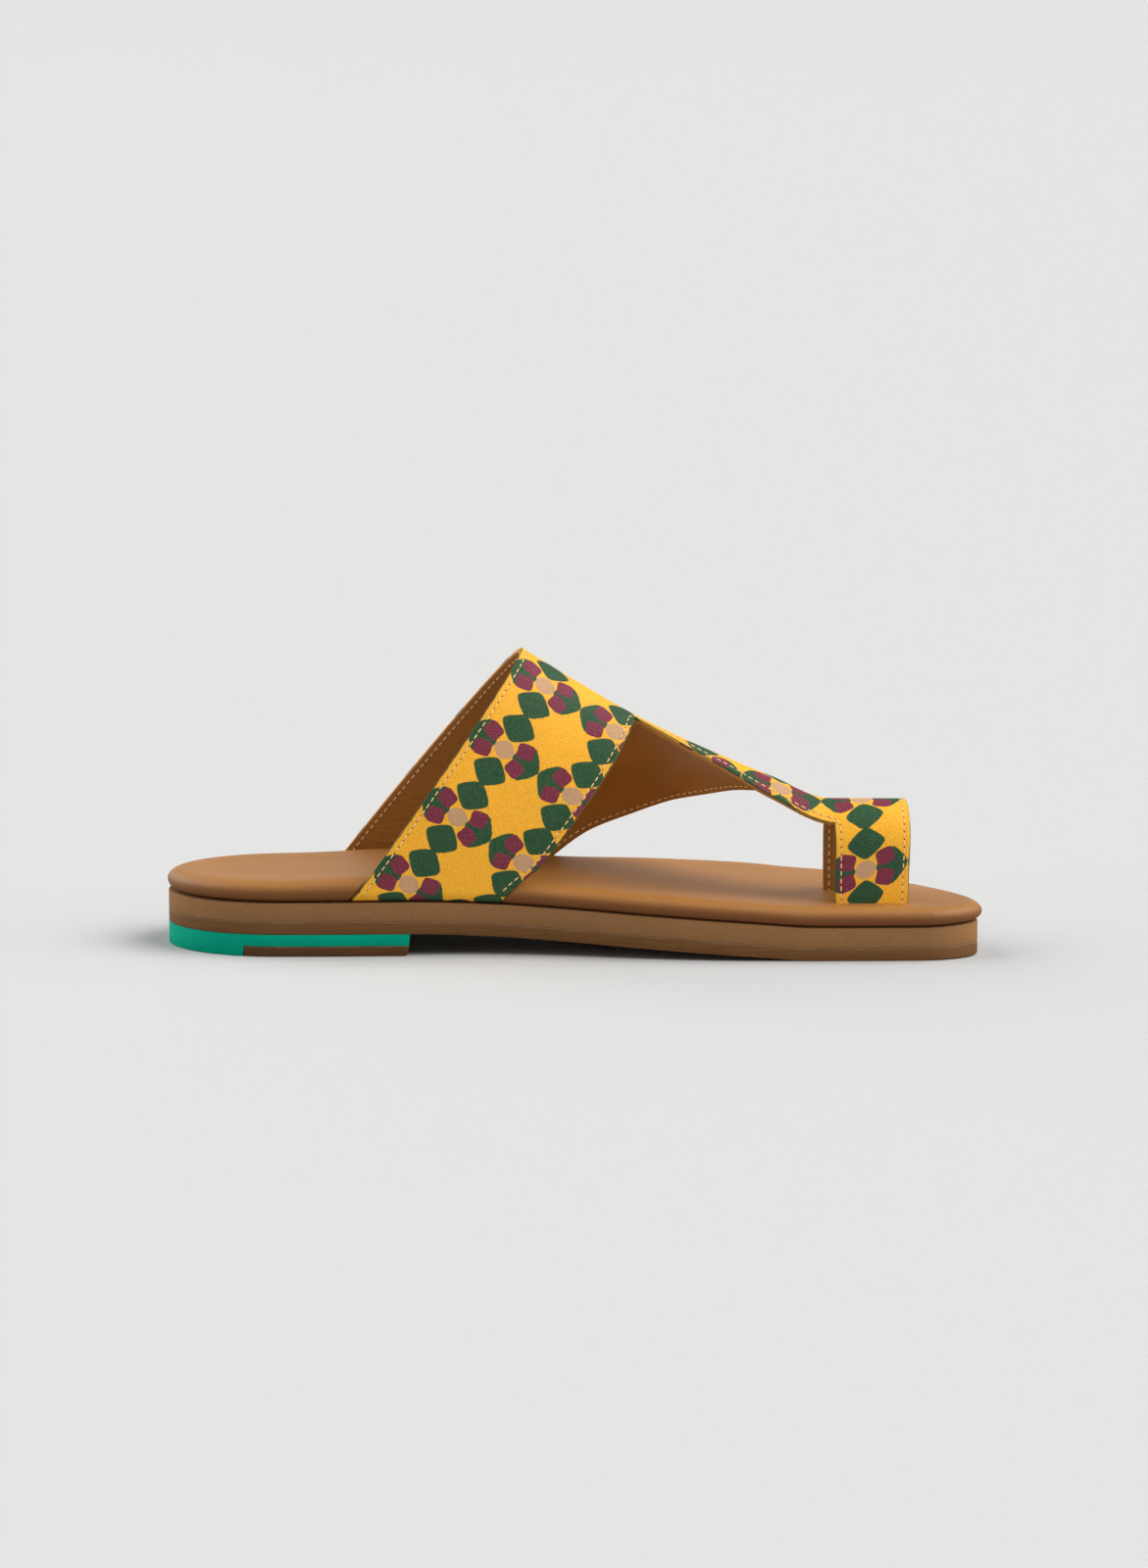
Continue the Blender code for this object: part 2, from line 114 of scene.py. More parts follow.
# Footbed where a wing grips it: ease of the grip outside and inside the wing's edges, slack
# behind the wing, lift over its tucked margin, and the pinched wrinkles beside it
GRIP_OUTSIDE = 1.6
GRIP_INSIDE = 0.6
GRIP_SLACK = 0.15
GRIP_LIFT = 2.6
PINCH_BEHIND = 1.5
PINCH_AHEAD = 3.0
PINCH_WIDTH = 4.0
PINCH_DEPTH = 0.16
PINCH_WAVE = 1.9

# Puckers round the footbed's heel and toe
PUCKER_DEPTH = 0.15
PUCKER_HEEL_WIDTH = 30.0
PUCKER_TOE_WIDTH = 34.0
PUCKER_TOE = 1.7
PUCKER_ACROSS = 0.9
PUCKER_ALONG = 0.35
PUCKER_OVER = 0.35

# Upper
WALL = 2.2
PRINT_WALL = 0.75
LINING_START = 0.79
WING_PROUD = 0.8
WING_TURN = 4.0
WING_MARGIN = 8.0
WING_LEAN = math.radians(36.0)
RING_WIDTH = 27.6
RING_ARCH = 15.0
RING_FORMED = 0.98
MEDIAL_BULGE = 2.5
MEDIAL_BULGE_POWER = 4
MEDIAL_SWEEP = 3.2
MEDIAL_SWEEP_START = 0.82

# Creases of the lining above the foot of its far wing: where they start, are deepest, fade and
# end, above the foot and along the crown
CREASE_DEPTH = 0.34
CREASE_RISE = (1.0, 5.0, 9.0, 18.0)
CREASE_PLACES = (2.0, 6.0, 26.0, 40.0)
CREASE_WAVE = 2.4
CREASE_SWAY = 0.5
CREASE_SWAY_RATE = 0.5
CREASE_SWELL = 0.4
CREASE_SWELL_RATE = 0.33

# Sewing: how deep stitches and holes sit in the leather, and a needle hole's length as a share of
# its width and its height
SEWN_DEPTH = 0.02
HOLE_LONG = 1.2
HOLE_HEIGHT = 0.1

# Working steps and tolerances
FOOT_ROUNDS = 8
DROP_ROUNDS = 4
ARCH_STEPS = 48
TURN_STEPS = 12
TABLE_STEP = 0.5
TABLE_REACH = 140.0
TABLE_MARGIN = 3.0
NORMAL_STEP = 0.3
PATH_STEP = 0.4
EDGE_STEPS = 200
JOIN_STEPS = 20
EASE_STEPS = 5
EASE_ROUNDS = 3
DISTANCE_ROWS = 500
HAIR = 1e-4
WELD = 1e-6


def table(row_name, columns, *rows):
    """Rows of a table with named columns."""
    row_type = namedtuple(row_name, columns)
    return [row_type(*row) for row in rows]


# along: share of the length, medial and lateral: shares of the ball width, rise: share of the
# heel height, all in per cent; midsole and pad: thicknesses of midsole and footbed in millimetres
SOLE_SECTIONS = table(
    "SoleSection", "name along medial lateral rise midsole pad",
    ("heel back", 0, 36.5, 36.5, 100, 6.5, 7.4),
    ("heel seat", 14, 36.8, 36.8, 100, 6.5, 7.4),
    ("heel breast", 30, 35.5, 37.6, 100, 6.6, 9.0),
    ("waist", 40, 34.0, 40.0, 87, 6.7, 8.2),
    ("arch", 50, 37.0, 45.0, 66, 6.8, 7.1),
    ("behind the ball", 60, 43.0, 51.5, 45, 6.9, 7.0),
    ("ball", 71, 46.2, 53.8, 20, 7.0, 7.0),
    ("tread start", 80, 46.2, 49.5, 0, 7.0, 7.0),
    ("little toe", 86, 46.0, 38.5, 0, 7.0, 7.0),
    ("tread end", 92, 45.5, 26.0, 0, 7.0, 6.9),
    ("toe tip", 100, 44.0, 12.0, 8, 7.0, 6.4),
)

# crown_along: share of the length, crown_across: share of the ball width, crown_up: share of the
# instep height, all in per cent; lean_medial and lean_lateral: backward tilt of the section's two
# halves and turn: its turn in plan, in degrees; medial and lateral: reach of the centre strip from
# the crown, in millimetres; ring: how far the section has changed from the foot's arch to the toe
# ring's, in per cent
UPPER_SECTIONS = table(
    "UpperSection",
    "name crown_along crown_across crown_up lean_medial lean_lateral turn medial lateral ring",
    ("band back", 43.9, 0.5, 99.5, 36, 38.3, 4.4, 3.0, 14.0, 0),
    ("band middle", 50.5, -1.6, 88.6, 36.5, 38, 4.4, 3.0, 14.0, 0),
    ("notch", 57.6, -5.4, 77.8, 37.5, 37, 5.0, 3.0, 14.0, 0),
    ("strip back", 67.4, -12.0, 65.7, 27, 28, 8.0, 8.2, 14.0, 0),
    ("strip front", 74.6, -16.5, 58.0, 17, 17, 7.5, 12.8, 13.5, 60),
    ("ring back", 81.6, -19.6, 51.1, 0, 0, 6.1, 13.7, 13.0, 100),
    ("ring front", 90.7, -19.6, 51.0, 2, 0, 6.1, 13.7, 13.0, 100),
)

# part: share of the way from the strip's edge to the foot, place: how far forward the wing's front
# edge is there, in millimetres along the crown
LATERAL_FLARE = table(
    "FlareRow", "part place",
    (0.0, 111.0), (0.05, 106.0), (0.25, 96.0), (0.5, 85.5), (0.65, 72.6), (0.8, 61.6), (1.0, 56.5),
)

# out: how far the rounded edge stands out, depth: how deep below the layer's face, in millimetres
EDGE_COLUMNS = "out depth"
PRINT_EDGE = table(
    "PrintEdge", EDGE_COLUMNS,
    (0.14, 0.04), (0.24, 0.15), (0.27, 0.34), (0.25, 0.55), (0.15, 0.70),
)
LINING_EDGE = table(
    "LiningEdge", EDGE_COLUMNS,
    (0.12, 0.06), (0.20, 0.25), (0.22, 0.70), (0.18, 1.10), (0.05, 1.34),
)

# length of a wave of puckers in millimetres, its share of their depth and its shift in radians
PUCKER_WAVES = table(
    "PuckerWave", "length share shift",
    (2.3, 1.0, 0.0), (1.57, 0.6, 1.3),
)

# reach of the print's row of dots beside the crown, at places along it, in millimetres
PRINT_DRIFT = table(
    "PrintRow", "place reach",
    (0.0, -13.4), (41.0, -14.6), (71.0, -11.4), (100.0, -7.4), (128.0, -1.9), (143.0, 1.0),
)
PRINT_START = 12.6
PRINT_ALONG = 29.1
PRINT_AROUND = 28.4


class SandalSizes(bpy.types.PropertyGroup):
    """Sizes that a user would change, in metres."""

    stitch_pitch: FloatProperty(
        name="Stitch pitch", description="Distance from one stitch to the next",
        default=0.0026, unit="LENGTH")
    stitch_length: FloatProperty(
        name="Stitch length", description="Length of thread that shows in a stitch",
        default=0.0021, unit="LENGTH")
    thread_radius: FloatProperty(
        name="Thread radius", description="Half the thickness of the sewing thread",
        default=0.00026, unit="LENGTH")
    hole_radius: FloatProperty(
        name="Hole radius", description="Half the width of a needle hole",
        default=0.00027, unit="LENGTH")
    stitch_inset: FloatProperty(
        name="Stitch inset", description="Distance of the stitches from the leather's edge",
        default=0.0018, unit="LENGTH")
    grain: FloatProperty(
        name="Grain", description="Size of the printed leather's pebbles",
        default=0.0006, unit="LENGTH")
    stations: IntProperty(
        name="Stations", description="Sections along the sole", default=220, min=40)


class SandalColours(bpy.types.PropertyGroup):
    """Colours of leather, thread, sole and floor."""

    yellow: FloatVectorProperty(
        name="Yellow", description="Ground of the print", subtype="COLOR",
        default=(0.83, 0.386, 0.0165))
    green: FloatVectorProperty(
        name="Green", description="Leaves of the print", subtype="COLOR",
        default=(0.0095, 0.060, 0.0195))
    maroon: FloatVectorProperty(
        name="Maroon", description="Petals of the print", subtype="COLOR",
        default=(0.165, 0.0135, 0.038))
    beige: FloatVectorProperty(
        name="Beige", description="Dots of the print", subtype="COLOR",
        default=(0.49, 0.28, 0.143))
    lining: FloatVectorProperty(
        name="Lining", description="Leather inside the upper", subtype="COLOR",
        default=(0.35, 0.138, 0.015))
    footbed: FloatVectorProperty(
        name="Footbed", description="Leather over the padded footbed", subtype="COLOR",
        default=(0.34, 0.142, 0.027))
    midsole: FloatVectorProperty(
        name="Midsole", description="Felted edge of the midsole", subtype="COLOR",
        default=(0.243, 0.119, 0.045))
    outsole: FloatVectorProperty(
        name="Outsole", description="Sanded edge of the outsole", subtype="COLOR",
        default=(0.133, 0.056, 0.013))
    heel: FloatVectorProperty(
        name="Heel", description="Heel block", subtype="COLOR",
        default=(0.0, 0.30, 0.19))
    lift: FloatVectorProperty(
        name="Lift", description="Strip under the heel", subtype="COLOR",
        default=(0.086, 0.034, 0.007))
    thread: FloatVectorProperty(
        name="Thread", description="Thread on the outside", subtype="COLOR",
        default=(0.75, 0.50, 0.21))
    lining_thread: FloatVectorProperty(
        name="Lining thread", description="Thread on the inside", subtype="COLOR",
        default=(0.86, 0.56, 0.28))
    # Painted shade: needle holes are flat dark shapes standing for the shade inside them
    hole: FloatVectorProperty(
        name="Hole", description="Needle holes", subtype="COLOR",
        default=(0.05, 0.022, 0.010))
    floor: FloatVectorProperty(
        name="Floor", description="Pale studio floor", subtype="COLOR",
        default=(0.52, 0.52, 0.515))


# Shape of sole and upper, worked out from the tables
class Track:
    """Smooth line through a table's column that never overshoots its rows."""

    def __init__(self, places, values):
        self.places = np.array(places, float)
        self.values = np.array(values, float)
        self.steps = np.diff(self.places)
        rises = np.diff(self.values) / self.steps
        self.slopes = np.zeros(len(self.places))
        self.slopes[0] = rises[0]
        self.slopes[-1] = rises[-1]
        for i in range(1, len(rises)):
            if rises[i - 1] * rises[i] > 0:
                first = 2 * self.steps[i] + self.steps[i - 1]
                second = self.steps[i] + 2 * self.steps[i - 1]
                self.slopes[i] = (first + second) / (first / rises[i - 1] + second / rises[i])

    def __call__(self, at):
        i = np.clip(np.searchsorted(self.places, at) - 1, 0, len(self.steps) - 1)
        step = self.steps[i]
        t = (at - self.places[i]) / step
        start = (1 + 2 * t) * (1 - t) ** 2 * self.values[i] + t * (1 - t) ** 2 * step * self.slopes[i]
        end = t * t * (3 - 2 * t) * self.values[i + 1] + t * t * (t - 1) * step * self.slopes[i + 1]
        return start + end


def column(rows, field, whole):
    """A column of a table, turned from per cent into millimetres of a whole."""
    return [getattr(row, field) * whole / 100 for row in rows]


def smooth(low, high, at):
    """Smooth step from 0 at low to 1 at high."""
    t = np.clip((at - low) / (high - low), 0, 1)
    return t * t * (3 - 2 * t)


def between(at, start, full, fading, end):
    """Smooth rise from start to full and smooth fall from fading to end."""
    return smooth(start, full, at) * (1 - smooth(fading, end, at))


def hump(at, middle, width):
    """Soft bump of height 1."""
    return np.exp(-((at - middle) / width) ** 2)


def waves(at, length, shift=0.0):
    """Waves of height 1."""
    return np.sin(at * 2 * math.pi / length + shift)


SOLE_PLACES = column(SOLE_SECTIONS, "along", LENGTH)
SOLE_HALF = {
    -1: Track(SOLE_PLACES, column(SOLE_SECTIONS, "medial", BALL_WIDTH)),
    1: Track(SOLE_PLACES, column(SOLE_SECTIONS, "lateral", BALL_WIDTH)),
}
OUTSOLE_BOTTOM = Track(SOLE_PLACES, column(SOLE_SECTIONS, "rise", HEEL_HEIGHT))
MIDSOLE_THICKNESS = Track(SOLE_PLACES, column(SOLE_SECTIONS, "midsole", 100))
PAD_THICKNESS = Track(SOLE_PLACES, column(SOLE_SECTIONS, "pad", 100))


def outsole_top(along):
    return OUTSOLE_BOTTOM(along) + OUTSOLE_THICKNESS


def midsole_bottom(along):
    return outsole_top(along) + SEAM


def midsole_top(along):
    return outsole_top(along) + MIDSOLE_THICKNESS(along)


def footbed_bottom(along):
    return midsole_top(along) + GAP


def footbed_top(along):
    return midsole_top(along) + PAD_THICKNESS(along)


def rounding(along, side):
    """Share of the width that is left where the outline rounds off at the heel and the toe."""
    at_heel = 1 - along / HEEL_ROUND
    at_toe = np.maximum(0.0, 1 - (LENGTH - along) / TOE_ROUND[side])
    short = np.where(along < HEEL_ROUND, at_heel, at_toe)
    return np.sqrt(np.maximum(0.0, 1 - short * short))


def footbed_edge(along, side):
    """Across place of the footbed's widest edge."""
    tip = np.where(along < LENGTH / 2, 0.0, TOE_TIP_ACROSS)
    return tip + (side * SOLE_HALF[side](along) - tip) * rounding(along, side)


def sole_edge(along, side):
    """Across place of the side of midsole and outsole, under the footbed's overhang."""
    share = along / LENGTH
    overhang = OVERHANG_HEEL * (1 - share) + OVERHANG_TOE * share
    return footbed_edge(along, side) - side * overhang * rounding(along, side)


def lengths_along(points):
    """Length of a line of points up to each of them."""
    return np.concatenate([[0.0], np.cumsum(np.linalg.norm(np.diff(points, axis=0), axis=1))])


CROWN_POINTS = np.stack([
    column(UPPER_SECTIONS, "crown_along", LENGTH),
    column(UPPER_SECTIONS, "crown_across", BALL_WIDTH),
    column(UPPER_SECTIONS, "crown_up", INSTEP_HEIGHT),
], axis=1)
CROWN_PLACES = lengths_along(CROWN_POINTS)
CROWN = [Track(CROWN_PLACES, CROWN_POINTS[:, axis]) for axis in range(3)]
LEAN = {
    -1: Track(CROWN_PLACES, [math.radians(row.lean_medial) for row in UPPER_SECTIONS]),
    1: Track(CROWN_PLACES, [math.radians(row.lean_lateral) for row in UPPER_SECTIONS]),
}
TURN = Track(CROWN_PLACES, [math.radians(row.turn) for row in UPPER_SECTIONS])
STRIP_EDGE = {
    -1: Track(CROWN_PLACES, [row.medial for row in UPPER_SECTIONS]),
    1: Track(CROWN_PLACES, [row.lateral for row in UPPER_SECTIONS]),
}
RING_SHARE = Track(CROWN_PLACES, column(UPPER_SECTIONS, "ring", 1.0))
PLACE = {row.name: place for row, place in zip(UPPER_SECTIONS, CROWN_PLACES)}
FLARE = Track([row.part for row in LATERAL_FLARE], [row.place for row in LATERAL_FLARE])
FLARE_START = LATERAL_FLARE[0].place
DRIFT = Track([row.place for row in PRINT_DRIFT], [row.reach for row in PRINT_DRIFT])


@lru_cache(maxsize=None)
def section(place, side):
    """Half of the upper's section: points (across, drop) from the crown to its end, with lengths."""
    lean = LEAN[side](place)
    turn = TURN(place)
    crown_along = CROWN[0](place)
    half = BALL_WIDTH / 2
    for _ in range(FOOT_ROUNDS):
        drop = INSTEP_HEIGHT / 2
        for _ in range(DROP_ROUNDS):
            foot_along = crown_along - side * half * math.sin(turn) - drop * math.sin(lean)
            drop = (CROWN[2](place) - midsole_top(foot_along) - GAP) / math.cos(lean)
        foot_across = sole_edge(foot_along, side) + side * WING_PROUD
        half = side * (foot_across - CROWN[1](place)) / math.cos(turn)
    share = RING_SHARE(place)
    half = half * (1 - share) + RING_WIDTH / 2 * share
    arch = (drop - WING_TURN) * (1 - share) + RING_ARCH * share
    angles = np.linspace(0, math.pi / 2, ARCH_STEPS + 1)
    across = list(half * np.sin(angles))
    down = list(arch * (1 - np.cos(angles)))
    if share < RING_FORMED:
        across.append(half)
        down.append(drop - WING_TURN + HAIR)
        foot = len(across) - 1
        for angle in np.linspace(0, math.pi / 2, TURN_STEPS + 1)[1:]:
            across.append(half - WING_TURN * (1 - math.cos(angle)))
            down.append(drop - WING_TURN * (1 - math.sin(angle)))
        turned = len(across) - 1
        across.append(half - WING_TURN - WING_MARGIN - SPARE)
        down.append(drop)
    else:
        across += [half, half]
        down += [drop, drop + SPARE]
        foot = turned = len(across) - 2
    across = np.array(across)
    down = np.array(down)
    lengths = np.concatenate([[0.0], np.cumsum(np.hypot(np.diff(across), np.diff(down)))])
    return across, down, lengths, lengths[foot], lengths[turned], lengths[-1] - SPARE


class LeatherForm:
    """Outer face of the upper as a table of points over place and reach, read by interpolation."""

    def __init__(self):
        self.places = np.arange(-TABLE_MARGIN, PLACE["ring front"] + TABLE_MARGIN, TABLE_STEP)
        self.reaches = np.arange(-TABLE_REACH, TABLE_REACH + TABLE_STEP / 2, TABLE_STEP)
        self.table = np.array([self.row(place) for place in self.places])
        self.stops = {
            side: np.array([section(place, side)[3:] for place in self.places]) for side in (-1, 1)
        }

    def row(self, place):
        points = []
        turn = TURN(place)
        medial = self.reaches < 0
        for side, half in ((-1, medial), (1, ~medial)):
            reaches = np.abs(self.reaches[half])
            across, down, lengths = section(place, side)[:3]
            width = side * np.interp(reaches, lengths, across)
            drop = np.interp(reaches, lengths, down)
            lean = LEAN[side](place)
            points.append(np.stack([
                CROWN[0](place) - width * math.sin(turn) - drop * math.sin(lean),
                CROWN[1](place) + width * math.cos(turn),
                CROWN[2](place) - drop * math.cos(lean),
            ], axis=1))
        return np.concatenate(points)

    def point(self, place, reach):
        u = (np.asarray(place, float) - self.places[0]) / TABLE_STEP
        v = (np.asarray(reach, float) - self.reaches[0]) / TABLE_STEP
        i = np.clip(np.floor(u).astype(int), 0, len(self.places) - 2)
        j = np.clip(np.floor(v).astype(int), 0, len(self.reaches) - 2)
        f = (u - i)[..., None]
        g = (v - j)[..., None]
        near = self.table[i, j] * (1 - g) + self.table[i, j + 1] * g
        far = self.table[i + 1, j] * (1 - g) + self.table[i + 1, j + 1] * g
        return near * (1 - f) + far * f

    def slopes(self, place, reach):
        """Change of the point per millimetre of place and of reach."""
        step = NORMAL_STEP
        along = self.point(place + step, reach) - self.point(place - step, reach)
        across = self.point(place, reach + step) - self.point(place, reach - step)
        return along / (2 * step), across / (2 * step)

    def normal(self, place, reach):
        normal = np.cross(*self.slopes(place, reach))
        return normal / np.linalg.norm(normal, axis=-1, keepdims=True)

    def shift(self, place, reach, move):
        """Place and reach after a move along the surface, given in space."""
        along, across = self.slopes(place, reach)
        aa = (along * along).sum(-1)
        ab = (along * across).sum(-1)
        bb = (across * across).sum(-1)
        ma = (along * move).sum(-1)
        mb = (across * move).sum(-1)
        whole = aa * bb - ab * ab
        return place + (ma * bb - mb * ab) / whole, reach + (mb * aa - ma * ab) / whole

    def wing_reach(self, place, side, part):
        """Reach in a wing: part 0 to 1 strip edge to foot, 1 to 2 its turn, 2 to 3 its margin."""
        stops = [STRIP_EDGE[side](place)]
        stops += [np.interp(place, self.places, self.stops[side][:, i]) for i in range(3)]
        whole = min(2, int(part))
        return side * (stops[whole] + (part - whole) * (stops[whole + 1] - stops[whole]))


def wing_front(side, part):
    """Place of a wing's front edge: straight on the big-toe side, swept far forward on the other."""
    part = min(1.0, part)
    if side == 1:
        return FLARE(part)
    bulge = MEDIAL_BULGE * (1 - (1 - part) ** MEDIAL_BULGE_POWER)
    return PLACE["notch"] + bulge - MEDIAL_SWEEP * smooth(MEDIAL_SWEEP_START, 1.0, part)


# Rows and columns of the fine leather grid
BAND_ROWS = 36
STRIP_ROWS = 54
JOIN_ROWS = 5
RING_ROWS = 20
CENTRE_COLUMNS = 24
WING_COLUMNS = 84
RING_COLUMNS = 22
TURN_COLUMNS = 5
MARGIN_COLUMNS = 3
COLUMN_POWER = {-1: 1.0, 1: 1.25}


class LeatherGrid:
    """Fine grid of places and reaches over band, strip and toe ring."""

    def __init__(self, form):
        self.form = form
        self.spots = []
        self.faces = []
        self.known = {}
        notch = PLACE["notch"]
        ring_back = PLACE["ring back"]
        rows = list(np.linspace(0, notch, BAND_ROWS + 1))
        rows += list(np.linspace(notch, FLARE_START, STRIP_ROWS + 1)[1:])
        join = list(np.linspace(FLARE_START, ring_back, JOIN_ROWS + 1)[1:-1])
        ring = list(np.linspace(ring_back, PLACE["ring front"], RING_ROWS + 1))
        centre = np.linspace(0, 1, CENTRE_COLUMNS + 1)
        self.block([
            [(place, -STRIP_EDGE[-1](place) * (1 - t) + STRIP_EDGE[1](place) * t) for t in centre]
            for place in rows + join + ring
        ])
        for side, wing_rows in ((-1, rows[:BAND_ROWS + 1]), (1, rows)):
            parts = [t ** COLUMN_POWER[side] for t in np.linspace(0, 1, WING_COLUMNS + 1)]
            parts += list(np.linspace(1, 2, TURN_COLUMNS + 1)[1:])
            parts += list(np.linspace(2, 3, MARGIN_COLUMNS + 1)[1:])
            grid = []
            for place in wing_rows:
                spots = [place / wing_rows[-1] * wing_front(side, part) for part in parts]
                line = [(spot, form.wing_reach(spot, side, part)) for spot, part in zip(spots, parts)]
                grid.append(line[::side])
            self.block(grid)
            parts = np.linspace(0, 1, RING_COLUMNS + 1)
            self.block([
                [(place, form.wing_reach(place, side, part)) for part in parts][::side]
                for place in ring
            ])
        self.place, self.reach = np.array(self.spots, float).T
        self.point = form.point(self.place, self.reach)
        self.normal = form.normal(self.place, self.reach)
        self.rim = self.boundary()

    def spot(self, place, reach):
        key = (round(float(place), 3), round(float(reach), 3))
        if key not in self.known:
            self.known[key] = len(self.spots)
            self.spots.append((place, reach))
        return self.known[key]

    def block(self, grid):
        """Faces of a block given as rows of (place, reach), reach growing along each row."""
        index = [[self.spot(*corner) for corner in row] for row in grid]
        for back, front in zip(index, index[1:]):
            for i in range(len(back) - 1):
                self.faces.append([back[i], front[i], front[i + 1], back[i + 1]])

    def boundary(self):
        """Corners of the grid's edge in order, with the leather on their left seen from outside."""
        edges = {edge for face in self.faces for edge in zip(face, face[1:] + face[:1])}
        after = {start: end for start, end in edges if (end, start) not in edges}
        loop = [min(after)]
        while len(loop) < len(after):
            loop.append(after[loop[-1]])
        return np.array(loop)

    def outward(self):
        """Directions out of the leather along its edge."""
        point = self.point[self.rim]
        tangent = np.roll(point, -1, axis=0) - np.roll(point, 1, axis=0)
        out = np.cross(tangent, self.normal[self.rim])
        return out / np.linalg.norm(out, axis=1, keepdims=True)


def edge_paths(form):
    """Visible edges of the upper as lists of (place, reach), with the leather on their left."""
    ring_back = PLACE["ring back"]
    ring_front = PLACE["ring front"]
    down = np.linspace(0, 1, EDGE_STEPS)
    up = down[::-1]

    def wing_line(side, parts, place=None):
        """Line over a wing at one place, or along its front edge where no place is given."""
        places = [wing_front(side, part) if place is None else place for part in parts]
        return [(at, form.wing_reach(at, side, part)) for at, part in zip(places, parts)]

    def strip_line(side, start, end, steps):
        return [(at, side * STRIP_EDGE[side](at)) for at in np.linspace(start, end, steps)]

    medial_strip = strip_line(-1, PLACE["notch"], ring_back, EDGE_STEPS)
    lateral_strip = strip_line(1, ring_back, FLARE_START, JOIN_STEPS)
    paths = (
        wing_line(1, up, 0.0) + wing_line(-1, down, 0.0),
        wing_line(-1, up) + medial_strip + wing_line(-1, down, ring_back),
        wing_line(-1, up, ring_front) + wing_line(1, down, ring_front),
        wing_line(1, up, ring_back) + lateral_strip + wing_line(1, down),
    )
    return [np.array(path, float) for path in paths]


def evenly(points, *columns):
    """Columns sampled at even steps along a line of points."""
    lengths = lengths_along(points)
    at = np.linspace(0, lengths[-1], int(lengths[-1] / PATH_STEP) + 1)
    return [np.interp(at, lengths, values) for values in columns]


def stitch_line(form, path, inset):
    """Line inside an edge of the upper: its places and reaches, corners eased."""
    place, reach = evenly(form.point(path[:, 0], path[:, 1]), path[:, 0], path[:, 1])
    point = form.point(place, reach)
    tangent = np.gradient(point, axis=0)
    tangent /= np.linalg.norm(tangent, axis=1, keepdims=True)
    inward = np.cross(form.normal(place, reach), tangent)
    place, reach = form.shift(place, reach, inward * inset)
    kernel = np.ones(EASE_STEPS) / EASE_STEPS
    eased = slice(EASE_STEPS // 2, -(EASE_STEPS // 2))
    for _ in range(EASE_ROUNDS):
        place[eased] = np.convolve(place, kernel, "valid")
        reach[eased] = np.convolve(reach, kernel, "valid")
    return evenly(form.point(place, reach), place, reach)


# Meshes
def across_middle():
    along = np.linspace(0, LENGTH, 2001)
    return (footbed_edge(along, -1).min() + footbed_edge(along, 1).max()) / 2


ORIGIN = np.array([LENGTH / 2, across_middle(), 0.0])


def to_frame(points):
    """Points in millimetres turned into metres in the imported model's frame."""
    return (np.asarray(points, float) - ORIGIN) * MM


def mesh_piece(name, points, faces, values=None, uv=None, weld=False):
    """Object from points in millimetres, with named values on its points and a map of its surface."""
    mesh = bpy.data.meshes.new(name)
    mesh.from_pydata(to_frame(points).tolist(), [], [list(map(int, face)) for face in faces])
    for key, numbers in (values or {}).items():
        layer = mesh.attributes.new(key, "FLOAT", "POINT")
        layer.data.foreach_set("value", np.asarray(numbers, np.float32))
    if uv is not None:
        corners = np.empty(len(mesh.loops), np.int32)
        mesh.loops.foreach_get("vertex_index", corners)
        layer = mesh.uv_layers.new(name="pattern")
        layer.data.foreach_set("uv", np.asarray(uv, np.float32)[corners].ravel())
    if weld:
        form = bmesh.new()
        form.from_mesh(mesh)
        bmesh.ops.remove_doubles(form, verts=form.verts, dist=WELD)
        form.to_mesh(mesh)
        form.free()
    mesh.shade_smooth()
    mesh.update()
    piece = bpy.data.objects.new(name, mesh)
    bpy.context.scene.collection.objects.link(piece)
    return piece


def settle(piece, slot, material, *nodes):
    """Material, body and replaced nodes of a finished piece; its slot is not used."""
    if material is not None:
        piece.data.materials.clear()
        piece.data.materials.append(material)
    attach(piece, BODY)
    if nodes:
        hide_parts(*nodes)


def stations_of(count, start=0.0, end=1.0):
    """Shares of the length, close together at heel and toe."""
    shares = (1 - np.cos(np.pi * np.arange(count + 1) / count)) / 2
    return start + (end - start) * shares


def outline(shares, inset_heel, inset_toe):
    """Along and across places of both sides of the outline, inset from the footbed's edge."""
    inset = inset_heel * (1 - shares) + inset_toe * shares
    along = inset_heel + shares * (LENGTH - inset_heel - inset_toe)
    sides = []
    for side in (-1, 1):
        across = footbed_edge(shares * LENGTH, side) - side * inset * rounding(shares * LENGTH, side)
        sides.append(np.stack([along, across], axis=1))
    return np.array(sides)


def slab(levels, columns):
    """Points and faces of a closed form through outline levels, bottom to top.

    levels holds points by level, side and station; columns is the number of face columns in a cap.
    """
    levels = np.asarray(levels, float)
    count, _, length, _ = levels.shape
    points = list(levels.reshape(-1, 3))
    index = np.arange(count * 2 * length).reshape(count, 2, length)
    faces = []

    def quads(a, b, flip):
        for i in range(length - 1):
            face = [a[i], a[i + 1], b[i + 1], b[i]]
            faces.append(face[::-1] if flip else face)

    for k in range(count - 1):
        quads(index[k, 0], index[k + 1, 0], False)
        quads(index[k, 1], index[k + 1, 1], True)
        for i, flip in ((0, True), (length - 1, False)):
            face = [index[k, 0, i], index[k, 1, i], index[k + 1, 1, i], index[k + 1, 0, i]]
            faces.append(face[::-1] if flip else face)
    for k, flip in ((0, True), (count - 1, False)):
        before = index[k, 0]
        for c in range(1, columns + 1):
            if c == columns:
                row = index[k, 1]
            else:
                share = c / columns
                row = np.arange(len(points), len(points) + length)
                points += list(levels[k, 0] * (1 - share) + levels[k, 1] * share)
            quads(before, row, flip)
            before = row
    return np.array(points), faces


